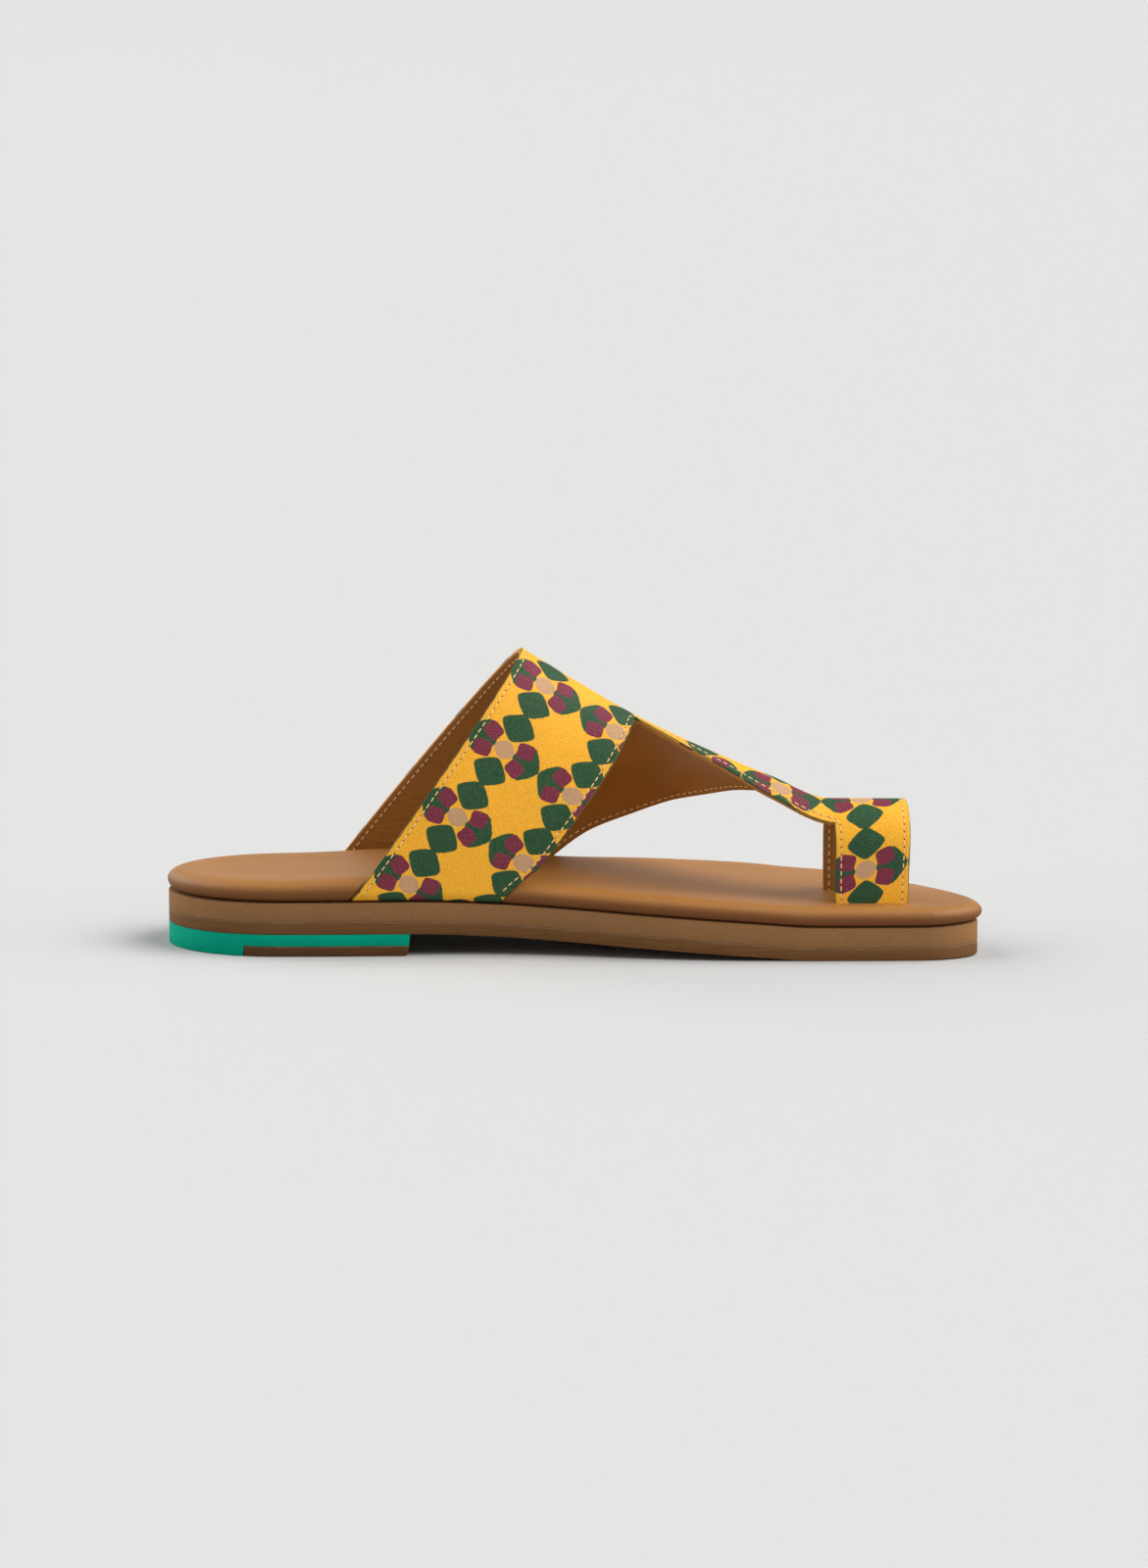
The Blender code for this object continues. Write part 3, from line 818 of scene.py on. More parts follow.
# Materials
class Value:
    """A socket that can be used in Python expressions, each of which adds a Math node."""

    def __init__(self, finish, socket):
        self.finish = finish
        self.socket = socket

    def math(self, operation, *values):
        node = self.finish.node("ShaderNodeMath", {"operation": operation}, dict(enumerate(values)))
        return Value(self.finish, node.outputs[0])

    def __add__(self, other):
        return self.math("ADD", self, other)

    __radd__ = __add__

    def __sub__(self, other):
        return self.math("SUBTRACT", self, other)

    def __rsub__(self, other):
        return self.math("SUBTRACT", other, self)

    def __mul__(self, other):
        return self.math("MULTIPLY", self, other)

    def __truediv__(self, other):
        return self.math("DIVIDE", self, other)

    def __pow__(self, other):
        return self.math("POWER", self, other)

    def __abs__(self):
        return self.math("ABSOLUTE", self)

    def folded(self, half):
        """Distance from the nearest whole number of steps, each twice a half."""
        return self.math("PINGPONG", self, half)

    def greater(self, other):
        return self.math("MAXIMUM", self, other)

    def clamped(self):
        node = self.finish.node("ShaderNodeClamp", {}, {"Value": self})
        return Value(self.finish, node.outputs[0])


class Finish:
    """A material whose nodes are made by one method."""

    def __init__(self, name):
        self.material = bpy.data.materials.new(name)
        self.material.use_nodes = True
        self.tree = self.material.node_tree
        self.shader = self.tree.nodes["Principled BSDF"]

    def node(self, kind, settings=None, values=None):
        item = self.tree.nodes.new(kind)
        for key, value in (settings or {}).items():
            setattr(item, key, value)
        for key, value in (values or {}).items():
            self.put(item.inputs[key], value)
        return item

    def put(self, socket, value):
        if isinstance(value, Value):
            self.tree.links.new(value.socket, socket)
        else:
            socket.default_value = value

    def shade(self, **values):
        """Values or links of the shader, with words joined by underscores."""
        for key, value in values.items():
            self.put(self.shader.inputs[key.replace("_", " ")], value)

    def place(self):
        return Value(self, self.node("ShaderNodeTexCoord").outputs["Object"])

    def stretched(self, vector, scale):
        node = self.node("ShaderNodeMapping", {}, {"Vector": vector, "Scale": scale})
        return Value(self, node.outputs[0])

    def noise(self, vector, size, detail=2.0, roughness=0.5):
        values = {"Vector": vector, "Scale": 1 / size, "Detail": detail, "Roughness": roughness}
        return Value(self, self.node("ShaderNodeTexNoise", {}, values).outputs[0])

    def cells(self, vector, size):
        values = {"Vector": vector, "Scale": 1 / size}
        return Value(self, self.node("ShaderNodeTexVoronoi", {}, values).outputs["Distance"])

    def attribute(self, name):
        return Value(self, self.node("ShaderNodeAttribute", {"attribute_name": name}).outputs["Fac"])

    def mixed(self, share, under, over, blend="MIX"):
        """Colour over another where share is 1; the numbers are the node's colour sockets."""
        settings = {"data_type": "RGBA", "blend_type": blend}
        node = self.node("ShaderNodeMix", settings, {0: share, 6: under, 7: over})
        return Value(self, node.outputs[2])

    def toned(self, colour, amount):
        """Colour made darker or lighter by a value around 1."""
        grey = self.node("ShaderNodeCombineColor", {}, {0: amount, 1: amount, 2: amount})
        return self.mixed(1.0, colour, Value(self, grey.outputs[0]), "MULTIPLY")

    def bump(self, height, depth, strength=1.0):
        values = {"Height": height, "Distance": depth, "Strength": strength}
        return Value(self, self.node("ShaderNodeBump", {}, values).outputs[0])


def paint(colour):
    return (*colour, 1.0)


# Print of the upper, in millimetres of the flat pattern
LEAF_MIDDLE = 9.1
LEAF_LONG = 6.1
LEAF_WIDE = 7.25
LEAF_POWER = 1.15
LEAF_ROUND = 0.15
PETAL_OUT = 6.7
PETAL_ASIDE = 3.6
PETAL_LONG = 3.1
PETAL_WIDE = 2.8
PETAL_POWER = 4.0
PETAL_TURN = math.radians(16.0)
DOT_AROUND = 3.2
DOT_ALONG = 3.75
DOT_POWER = 1.8
PRINT_SHARPNESS = 16.0
PAINT_MIDDLE = -0.12
PAINT_HALF = 0.26
PAINT_SHARPNESS = 12.0
GROOVE_MIDDLE = 1.8
GROOVE_HALF = 0.8
# Pale flecks over the print: fibres of the grain and painted glints of its highlights
FLECK_AND_GLINT = (0.9, 0.80, 0.6, 1.0)


def print_leather(colours, sizes):
    """Printed leather: a lattice of dots, leaves and petals, fine grain with pale fibres and painted
    glints, and a painted edge.
    """
    finish = Finish("printed_leather")
    where = finish.place()
    wobble = finish.noise(where, size=0.0022) + finish.noise(where, size=0.0006) * 0.6 - 0.8
    pattern = Value(finish, finish.node("ShaderNodeUVMap", {"uv_map": "pattern"}).outputs[0])
    parts = finish.node("ShaderNodeSeparateXYZ", {}, {0: pattern})
    along = Value(finish, parts.outputs[0]).folded(0.5) * PRINT_ALONG + wobble * 0.45
    around = Value(finish, parts.outputs[1]).folded(0.5) * PRINT_AROUND + wobble * 0.35

    def inside(x, y, power, ease=0.0):
        measure = (x * x + ease * ease) ** (power / 2) + (y * y + ease * ease) ** (power / 2)
        return ((1 - measure) * PRINT_SHARPNESS + 0.5).clamped()

    def leaf(ahead, beside):
        return inside((ahead - LEAF_MIDDLE) / LEAF_LONG, beside / LEAF_WIDE, LEAF_POWER, LEAF_ROUND)

    leaves = leaf(around, along).greater(leaf(along, around))
    aside = around - PETAL_ASIDE
    out = along - PETAL_OUT
    cos = math.cos(PETAL_TURN)
    sin = math.sin(PETAL_TURN)
    wide = (aside * cos - out * sin) / PETAL_WIDE
    long = (aside * sin + out * cos) / PETAL_LONG
    petals = inside(wide, long, PETAL_POWER)
    dots = inside(around / DOT_AROUND, along / DOT_ALONG, DOT_POWER)
    edge = finish.attribute("edge_distance")
    line = ((PAINT_HALF - abs(edge - PAINT_MIDDLE)) * PAINT_SHARPNESS + 0.5).clamped()
    colour = finish.mixed(leaves, paint(colours.yellow), paint(colours.green))
    colour = finish.mixed(petals, colour, paint(colours.maroon))
    colour = finish.mixed(dots, colour, paint(colours.beige))
    colour = finish.mixed(line, colour, paint(colours.green))
    grain = finish.noise(where, sizes.grain, detail=3.0, roughness=0.6)
    cloud = finish.noise(where, size=0.018)
    colour = finish.toned(colour, 0.62 + grain * 0.62 + cloud * 0.14)
    # Pale flecks: partly fibres, partly painted glints of the grain's highlights
    fleck_and_glint = ((finish.noise(where, size=0.00045, detail=1.0) - 0.42) * 2.0).clamped() * 0.075
    colour = finish.mixed(fleck_and_glint, colour, FLECK_AND_GLINT)
    groove = (1.0 - abs(edge - GROOVE_MIDDLE) / GROOVE_HALF).clamped()
    pebbles = finish.cells(where, sizes.grain * 1.4)
    height = grain * 0.7 + pebbles * 0.5 - groove * 0.9
    finish.shade(
        Base_Color=colour, Roughness=0.52 + grain * 0.16, Specular_IOR_Level=0.22,
        Normal=finish.bump(height, depth=0.00018, strength=0.8))
    return finish.material


# Creases low on the lining: height they start at and the height over which they deepen, in metres,
# and how often creases and streaks come in a metre of each direction
CREASE_TOP = 0.058
CREASE_FADE = 0.022
CREASE_OFTEN = (230.0, 230.0, 620.0)
STREAK_OFTEN = (480.0, 480.0, 760.0)


def lining_leather(colours):
    """Smooth brown lining with fine creases."""
    finish = Finish("lining_leather")
    where = finish.place()
    cloud = finish.noise(where, size=0.02, detail=3.0)
    grain = finish.noise(where, size=0.0007, detail=3.0, roughness=0.6)
    streak = finish.noise(finish.stretched(where, STREAK_OFTEN), size=1.0, detail=3.0)
    height = Value(finish, finish.node("ShaderNodeSeparateXYZ", {}, {0: where}).outputs[2])
    low = ((CREASE_TOP - height) / CREASE_FADE).clamped()
    crease = finish.noise(finish.stretched(where, CREASE_OFTEN), size=1.0) * low
    relief = grain * 0.7 + streak * 0.8 + crease * 2.4
    finish.shade(
        Base_Color=finish.toned(paint(colours.lining), 0.72 + cloud * 0.36 + grain * 0.16),
        Roughness=0.38 + grain * 0.2, Normal=finish.bump(relief, depth=0.00022, strength=0.8))
    return finish.material


# Painted shade on the footbed's rolled edge, deeper towards its bottom: its tint and how strongly it
# shows
RIM_SHADE_TINT = (0.42, 0.29, 0.14, 1.0)
RIM_SHADE_SHARE = 0.9


def footbed_leather(colours):
    """Soft tan leather with a low sheen, and painted shade low on its rolled edge."""
    finish = Finish("footbed_leather")
    where = finish.place()
    cloud = finish.noise(where, size=0.035, detail=3.0)
    grain = finish.cells(where, size=0.0011)
    fine = finish.noise(where, size=0.0005)
    rim = finish.attribute("rim")
    colour = finish.toned(paint(colours.footbed), 0.86 + cloud * 0.24 + fine * 0.06)
    # Painted shade: the base colour is darkened towards the bottom of the rolled edge by the rim mask
    deep = finish.mixed(1.0, paint(colours.footbed), RIM_SHADE_TINT, "MULTIPLY")
    height = grain * 0.6 + fine * 0.5 + finish.noise(where, size=0.005, detail=3.0) * 0.3
    finish.shade(
        Base_Color=finish.mixed(rim * RIM_SHADE_SHARE, colour, deep),
        Roughness=0.41 + fine * 0.18 + rim * 0.22, Specular_IOR_Level=0.42,
        Coat_Weight=0.06 - rim * 0.06, Coat_Roughness=0.4,
        Normal=finish.bump(height, depth=0.00018, strength=0.7))
    return finish.material


def felted_edge(colours):
    """Midsole: matt, with a fine felted grain."""
    finish = Finish("felted_midsole")
    where = finish.place()
    speck = finish.noise(where, size=0.00055, detail=4.0, roughness=0.7)
    cloud = finish.noise(where, size=0.03)
    finish.shade(
        Base_Color=finish.toned(paint(colours.midsole), 0.48 + speck * 0.83 + cloud * 0.22),
        Roughness=0.88, Specular_IOR_Level=0.2,
        Normal=finish.bump(speck, depth=0.00022, strength=0.8))
    return finish.material


# Pale line of glue along the top edge of a sole layer: its colour, and where it starts as a share
# of the layer's height
GLUE = (0.42, 0.30, 0.19, 1.0)
GLUE_START = 0.93
GLUE_SHARPNESS = 20.0
SANDING_OFTEN = 60.0


def sanded_edge(name, base, streak_size):
    """Sole layer sanded lengthwise, with a pale line of glue along its top edge."""
    finish = Finish(name)
    where = finish.place()
    sanding = (SANDING_OFTEN, SANDING_OFTEN, 1 / streak_size)
    streak = finish.noise(finish.stretched(where, sanding), size=1.0, detail=4.0, roughness=0.65)
    speck = finish.noise(where, size=0.0009, detail=3.0)
    colour = finish.toned(paint(base), 0.38 + streak * 0.95 + speck * 0.30)
    height = finish.attribute("height_share")
    ragged = (finish.noise(where, size=0.004, detail=3.0) - 0.5) * 0.08
    line = ((height + ragged - GLUE_START) * GLUE_SHARPNESS).clamped() * finish.noise(where, size=0.006)
    finish.shade(
        Base_Color=finish.mixed(line * 0.75, colour, GLUE),
        Roughness=0.6 + streak * 0.25, Specular_IOR_Level=0.25,
        Normal=finish.bump(streak + speck * 0.4, depth=0.00015, strength=0.7))
    return finish.material


def heel_finish(colours):
    """Heel block: satin teal with faint mould marks."""
    finish = Finish("heel_teal")
    where = finish.place()
    cloud = finish.noise(where, size=0.02, detail=3.0)
    speck = finish.noise(where, size=0.0007, detail=3.0)
    finish.shade(
        Base_Color=finish.toned(paint(colours.heel), 0.82 + cloud * 0.26 + speck * 0.10),
        Roughness=0.6 + speck * 0.16, Specular_IOR_Level=0.04,
        Normal=finish.bump(speck, depth=0.00008, strength=0.5))
    return finish.material


def thread_finish(name, colour):
    """Twisted sewing thread."""
    finish = Finish(name)
    twist = finish.noise(finish.place(), size=0.00025)
    finish.shade(
        Base_Color=finish.toned(paint(colour), 0.75 + twist * 0.5), Roughness=0.6,
        Normal=finish.bump(twist, depth=0.0001, strength=0.5))
    return finish.material


def hole_shade_finish(colours):
    """Shadow in a needle hole."""
    finish = Finish("needle_hole")
    speck = finish.noise(finish.place(), size=0.0004, detail=1.0)
    finish.shade(Base_Color=finish.toned(paint(colours.hole), 0.7 + speck * 0.6), Roughness=0.9)
    return finish.material


# Pieces
def wing_grip(form, along, up, side):
    """Grip of a wing on the footbed's rim, 1 where it covers the rim, and the ends of its foot."""
    places = (0.0, wing_front(side, 1.0))
    feet = [form.point(place, form.wing_reach(place, side, 1.0)) for place in places]
    (back, _, height), (front, _, _) = feet
    slid = along - (up - height) * math.tan(WING_LEAN)
    ends = (back - GRIP_OUTSIDE, back + GRIP_INSIDE, front - GRIP_INSIDE, front + GRIP_OUTSIDE)
    return between(slid, *ends), back, front


def footbed_levels(form, shares):
    """Outline levels of the footbed: underside, rolled edge gripped by the wings, start of the top."""
    flat = outline(shares, 3 * WING_MARGIN, 3 * WING_MARGIN)
    levels = [np.concatenate([flat, footbed_bottom(flat[..., :1])], axis=-1)]
    turns = np.concatenate([np.linspace(-90, 0, UNDER_STEPS), np.linspace(0, 90, OVER_STEPS)[1:]])
    for turn in np.radians(turns):
        heel_roll, toe_roll = (ROLL_UNDER, ROLL_UNDER) if turn < 0 else (ROLL_OVER, ROLL_OVER_TOE)
        bend = 1 - math.cos(turn)
        share = (1 + math.sin(turn)) / 2
        under = max(0.0, -math.sin(turn))
        sides = outline(shares, heel_roll * bend, toe_roll * bend)
        along = sides[..., 0]
        up = footbed_bottom(along) * (1 - share) + footbed_top(along) * share
        for s, side in enumerate((-1, 1)):
            grip, back, front = wing_grip(form, along[s], up[s], side)
            limit = np.abs(sole_edge(along[s], side)) + WING_PROUD - WALL - GRIP_SLACK
            held = side * np.minimum(side * sides[s, :, 1], limit)
            pinch = hump(along[s], back - PINCH_BEHIND, PINCH_WIDTH)
            pinch += hump(along[s], front + PINCH_AHEAD, PINCH_WIDTH)
            pinch *= PINCH_DEPTH * (1 - grip) * math.cos(turn)
            wrinkle = pinch * waves(along[s], PINCH_WAVE)
            sides[s, :, 1] = sides[s, :, 1] * (1 - grip) + held * grip - side * wrinkle
            up[s] += GRIP_LIFT * grip * under
        ends = hump(along, 0.0, PUCKER_HEEL_WIDTH) + PUCKER_TOE * hump(along, LENGTH, PUCKER_TOE_WIDTH)
        swing = sides[..., 1] * PUCKER_ACROSS + along * PUCKER_ALONG
        pucker = sum(row.share * waves(swing, row.length, row.shift) for row in PUCKER_WAVES)
        deep = PUCKER_DEPTH * math.cos(turn) * (PUCKER_OVER + (1 - PUCKER_OVER) * under)
        away = sides - np.array([LENGTH / 2, 0.0])
        away /= np.linalg.norm(away, axis=-1, keepdims=True)
        sides = sides - away * (deep * ends * pucker)[..., None]
        levels.append(np.concatenate([sides, up[..., None]], axis=-1))
    return np.array(levels)


class SANDAL_OT_footbed(bpy.types.Operator):
    """Padded footbed with a rolled edge, gripped by the wings and slit for the toe ring"""

    bl_idname = "sandal.footbed"
    bl_label = "Footbed"

    def execute(self, context):
        sizes = context.scene.sandal_sizes
        form = LeatherForm()
        shares = stations_of(sizes.stations)
        levels = footbed_levels(form, shares)
        points, faces = slab(levels, FOOTBED_COLUMNS)
        count = levels.shape[0] * 2 * len(shares)
        top = np.arange(len(points)) >= count + (FOOTBED_COLUMNS - 1) * len(shares)
        top[count - 2 * len(shares):count] = True
        along, across = points[:, 0], points[:, 1]
        edge = np.minimum(across - footbed_edge(along, -1), footbed_edge(along, 1) - across)
        edge = np.minimum(edge, np.minimum(along, LENGTH - along))
        dish = FOOTBED_DISH - (FOOTBED_DISH + TOE_CROWN) * smooth(CROWN_START, CROWN_END, along)
        points[top, 2] -= (dish * smooth(DISH_START, DISH_END, edge))[top]
        places = np.linspace(PLACE["ring back"], PLACE["ring front"], SLIT_STEPS)
        for side in (-1, 1):
            reaches = form.wing_reach(places, side, SLIT_PART)
            wall = form.point(places, reaches) - WALL / 2 * form.normal(places, reaches)
            gaps = np.linalg.norm(points[top, None, :2] - wall[None, :, :2], axis=2).min(axis=1)
            points[top, 2] -= SLIT_DENT * hump(gaps, 0.0, SLIT_DENT_WIDTH)
        # Rim mask, 1 low on the rolled edge: drives the painted shade there, and its roughness and coat
        rise = (points[:, 2] - footbed_bottom(along)) / PAD_THICKNESS(along)
        rim = 1 - smooth(RIM_START, 1.0, rise)
        rim[top] = 0.0
        piece = mesh_piece("footbed_pad", points, faces, {"rim": rim}, weld=True)
        settle(piece, "footbed", footbed_leather(context.scene.sandal_colours), "footbed")
        return {"FINISHED"}


# Steps round an eased edge of the sole: shares of its bevel, inward and up
BEVEL_STEPS = ((1.0, 0.0), (0.3, 0.3), (0.0, 1.0))


def sole_levels(shares, bottom, top, bevel, end_round=0.0):
    """Outline levels of a sole layer, its edges eased."""
    rows = [(inset * bevel, bottom, rise * bevel) for inset, rise in BEVEL_STEPS]
    rows += [(inset * bevel, top, -rise * bevel) for inset, rise in BEVEL_STEPS[::-1]]
    levels = []
    for inset, rule, rise in rows:
        sides = outline(shares, OVERHANG_HEEL + inset, OVERHANG_TOE + inset)
        if end_round:
            short = np.clip(1 - (sides[0, -1, 0] - sides[0, :, 0]) / end_round, 0, 1)
            ease = end_round * (1 - np.sqrt(1 - short * short))
            sides[0, :, 1] += ease
            sides[1, :, 1] -= ease
            sides[:, -1, 0] -= inset
        up = rule(sides[..., 0]) + rise
        levels.append(np.concatenate([sides, up[..., None]], axis=-1))
    return np.array(levels)


def sole_piece(name, slot, material, levels, columns):
    """Closed piece of the sole, knowing how high in it each point is."""
    points, faces = slab(levels, columns)
    order = np.argsort(levels[0, 0, :, 0])
    low, high = [
        np.interp(points[:, 0], level[0, order, 0], level[0, order, 2]) for level in levels[[0, -1]]
    ]
    share = np.clip((points[:, 2] - low) / np.maximum(high - low, HAIR), 0, 1)
    piece = mesh_piece(name, points, faces, {"height_share": share}, weld=True)
    piece.data.set_sharp_from_angle(angle=SHARP_ANGLE)
    settle(piece, slot, material, slot)


class SANDAL_OT_sole(bpy.types.Operator):
    """Midsole and outsole"""

    bl_idname = "sandal.sole"
    bl_label = "Sole layers"

    def execute(self, context):
        colours = context.scene.sandal_colours
        shares = stations_of(context.scene.sandal_sizes.stations)
        levels = sole_levels(shares, midsole_bottom, midsole_top, MIDSOLE_BEVEL)
        sole_piece("midsole_layer", "midsole", felted_edge(colours), levels, SOLE_COLUMNS)
        levels = sole_levels(shares, OUTSOLE_BOTTOM, outsole_top, SOLE_BEVEL)
        finish = sanded_edge("sanded_outsole", colours.outsole, streak_size=0.0007)
        sole_piece("outsole_layer", "outsole", finish, levels, SOLE_COLUMNS)
        return {"FINISHED"}


def lift_bottom(along):
    """Underside of the lift, its front corner rounded."""
    short = np.clip(1 - (HEEL_BREAST - along) / LIFT_ROUND, 0, 1)
    return LIFT_ROUND * (1 - np.sqrt(1 - short * short))


def lift_top(along):
    return np.full_like(along, LIFT_THICKNESS)


def heel_bottom(along):
    """Underside of the heel block: on the floor behind its step, on the lift before it."""
    return np.where(along < HEEL_STEP - GAP, 0.0, LIFT_THICKNESS + SEAM)


def heel_top(along):
    return np.full_like(along, HEEL_HEIGHT - SEAM)


def heel_levels(shares, bottom, top):
    """Outline levels of a heel piece whose front face leans back towards the floor."""
    levels = sole_levels(shares, bottom, top, SOLE_BEVEL, BREAST_ROUND)
    front = levels[..., 0] > HEEL_BREAST - BREAST_DEPTH
    levels[..., 0] -= front * BREAST_SLOPE * (1 - levels[..., 2] / HEEL_HEIGHT)
    return levels


class SANDAL_OT_heel(bpy.types.Operator):
    """Heel block with its step, and the lift under its front"""

    bl_idname = "sandal.heel"
    bl_label = "Heel"

    def execute(self, context):
        colours = context.scene.sandal_colours
        count = context.scene.sandal_sizes.stations // 2
        fine = np.linspace(0, 1, count + 1) ** 2
        step = HEEL_STEP / LENGTH
        breast = HEEL_BREAST / LENGTH
        close = breast - (1 - np.linspace(0, 1, BREAST_STEPS)) ** 2 * 2 * BREAST_ROUND / LENGTH
        front = np.concatenate([np.linspace(step, close[0], count // 2 + 1)[:-1], close])
        whole = np.concatenate([fine * (step - HAIR), front])
        levels = heel_levels(whole, heel_bottom, heel_top)
        sole_piece("heel_block_piece", "heel_block", heel_finish(colours), levels, HEEL_COLUMNS)
        levels = heel_levels(front, lift_bottom, lift_top)
        finish = sanded_edge("heel_lift_rubber", colours.lift, streak_size=0.0006)
        sole_piece("heel_lift_strip", "heel_lift", finish, levels, HEEL_COLUMNS)
        return {"FINISHED"}


def leather_layer(grid, top, bottom, edge, edge_from_top, relief=None):
    """Closed layer of the upper between two depths, its cut edge rounded.

    Gives its points and faces, the lengths round its edge and the directions out of it.
    """
    count = len(grid.place)
    outer = grid.point - top * grid.normal
    inner = grid.point - bottom * grid.normal
    if relief is not None:
        inner = inner - relief[:, None] * grid.normal
    out = grid.outward()
    start = grid.point[grid.rim]
    down = grid.normal[grid.rim]
    rings = []
    lengths = []
    walked = 0.0
    before = (0.0, 0.0)
    for row in edge:
        depth = top + row.depth if edge_from_top else bottom - row.depth
        rings.append(start - depth * down + row.out * out)
        walked += math.hypot(row.out - before[0], row.depth - before[1])
        lengths.append(walked)
        before = (row.out, row.depth)
    if not edge_from_top:
        rings = rings[::-1]
    points = np.concatenate([outer, inner, *rings])
    faces = [list(face) for face in grid.faces]
    faces += [[corner + count for corner in reversed(face)] for face in grid.faces]
    size = len(grid.rim)
    walls = [2 * count + size * i + np.arange(size) for i in range(len(rings))]
    chain = [grid.rim, *walls, grid.rim + count]
    for upper, lower in zip(chain, chain[1:]):
        for i in range(size):
            j = (i + 1) % size
            faces.append([upper[j], upper[i], lower[i], lower[j]])
    return points, faces, lengths, out


def visible_edge_distance(form, grid):
    """Distance of the grid's points from the upper's visible edges."""
    lines = [form.point(path[:, 0], path[:, 1]) for path in edge_paths(form)]
    edges = np.concatenate([np.stack(evenly(line, *line.T), axis=1) for line in lines])
    distance = np.empty(len(grid.point))
    for i in range(0, len(distance), DISTANCE_ROWS):
        gaps = grid.point[i:i + DISTANCE_ROWS, None] - edges[None]
        distance[i:i + DISTANCE_ROWS] = np.sqrt((gaps * gaps).sum(-1)).min(axis=1)
    return distance


class SANDAL_OT_upper(bpy.types.Operator):
    """Upper: printed leather outside and its lining inside"""

    bl_idname = "sandal.upper"
    bl_label = "Upper"

    def execute(self, context):
        colours = context.scene.sandal_colours
        form = LeatherForm()
        grid = LeatherGrid(form)
        points, faces, lengths, out = leather_layer(grid, 0.0, PRINT_WALL, PRINT_EDGE, True)
        inside = visible_edge_distance(form, grid)
        size = len(grid.rim)
        distance = np.concatenate([inside, inside] + [np.full(size, -length) for length in lengths])
        places = [grid.place, grid.place]
        reaches = [grid.reach, grid.reach]
        for length in lengths:
            place, reach = form.shift(grid.place[grid.rim], grid.reach[grid.rim], out * length)
            places.append(place)
            reaches.append(reach)
        place = np.concatenate(places)
        reach = np.concatenate(reaches)
        across = (reach - DRIFT(place)) / PRINT_AROUND
        uv = np.stack([(place - PRINT_START) / PRINT_ALONG, across], axis=1)
        piece = mesh_piece("upper_print", points, faces, {"edge_distance": distance}, uv)
        settle(piece, "upper", print_leather(colours, context.scene.sandal_sizes), "upper")

        low = form.wing_reach(grid.place, 1, 1.0) - grid.reach
        crease = CREASE_DEPTH * between(low, *CREASE_RISE) * (grid.reach > 0)
        crease *= between(grid.place, *CREASE_PLACES)
        crease *= waves(low, CREASE_WAVE, CREASE_SWAY * np.sin(grid.place * CREASE_SWAY_RATE))
        crease *= 1 - CREASE_SWELL + CREASE_SWELL * np.sin(grid.place * CREASE_SWELL_RATE)
        points, faces, _, _ = leather_layer(grid, LINING_START, WALL, LINING_EDGE, False, crease)
        piece = mesh_piece("upper_lining", points, faces)
        settle(piece, "upper", lining_leather(colours), "upper")
        return {"FINISHED"}


def stitch_tree():
    """Geometry nodes that sew along lines: a stitch on each step, or a hole between two steps."""
    tree = bpy.data.node_groups.new("sewn_row", "GeometryNodeTree")
    sides = tree.interface
    sides.new_socket("Line", in_out="INPUT", socket_type="NodeSocketGeometry")
    for name in ("Pitch", "Length", "Width", "Height"):
        sides.new_socket(name, in_out="INPUT", socket_type="NodeSocketFloat")
    sides.new_socket("Holes", in_out="INPUT", socket_type="NodeSocketBool")
    sides.new_socket("Material", in_out="INPUT", socket_type="NodeSocketMaterial")
    sides.new_socket("Sewn", in_out="OUTPUT", socket_type="NodeSocketGeometry")

    def node(kind, settings=None, values=None):
        item = tree.nodes.new(kind)
        for key, value in (settings or {}).items():
            setattr(item, key, value)
        for key, value in (values or {}).items():
            if isinstance(value, bpy.types.NodeSocket):
                tree.links.new(value, item.inputs[key])
            else:
                item.inputs[key].default_value = value
        return item

    given = node("NodeGroupInput").outputs
    curve = node("GeometryNodeMeshToCurve", {}, {0: given["Line"]})
    even = node("GeometryNodeResampleCurve", {"mode": "LENGTH"},
                {"Curve": curve.outputs[0], "Length": given["Pitch"]})
    tangent = node("GeometryNodeInputTangent")
    kept = node("GeometryNodeStoreNamedAttribute", {"data_type": "FLOAT_VECTOR", "domain": "POINT"},
                {"Geometry": even.outputs[0], "Name": "ahead", "Value": tangent.outputs[0]})
    chain = node("GeometryNodeCurveToMesh", {}, {0: kept.outputs[0]})
    steps = node("GeometryNodeMeshToPoints", {"mode": "EDGES"}, {0: chain.outputs[0]})
    ends = node("GeometryNodeMeshToPoints", {"mode": "VERTICES"}, {0: chain.outputs[0]})
    chosen = node("GeometryNodeSwitch", {"input_type": "GEOMETRY"},
                  {"Switch": given["Holes"], "False": steps.outputs[0], "True": ends.outputs[0]})
    vector = {"data_type": "FLOAT_VECTOR"}
    ahead = node("GeometryNodeInputNamedAttribute", vector, {"Name": "ahead"})
    outward = node("GeometryNodeInputNamedAttribute", vector, {"Name": "outward"})
    turn = node("FunctionNodeAlignRotationToVector", {"axis": "X"}, {"Vector": ahead.outputs[0]})
    stand = node("FunctionNodeAlignRotationToVector", {"axis": "Z", "pivot_axis": "X"},
                 {"Rotation": turn.outputs[0], "Vector": outward.outputs[0]})
    ball = node("GeometryNodeMeshUVSphere", {}, {"Segments": 8, "Rings": 6, "Radius": 0.5})
    shape = node("ShaderNodeCombineXYZ", {}, {
        "X": given["Length"], "Y": given["Width"], "Z": given["Height"]})
    stitch = node("GeometryNodeTransform", {}, {"Geometry": ball.outputs[0], "Scale": shape.outputs[0]})
    spread = node("GeometryNodeInstanceOnPoints", {}, {
        "Points": chosen.outputs[0], "Instance": stitch.outputs[0], "Rotation": stand.outputs[0]})
    real = node("GeometryNodeRealizeInstances", {}, {0: spread.outputs[0]})
    smooth_faces = node("GeometryNodeSetShadeSmooth", {}, {"Geometry": real.outputs[0]})
    worn = node("GeometryNodeSetMaterial", {},
                {"Geometry": smooth_faces.outputs[0], "Material": given["Material"]})
    node("NodeGroupOutput", {}, {0: worn.outputs[0]})
    return tree


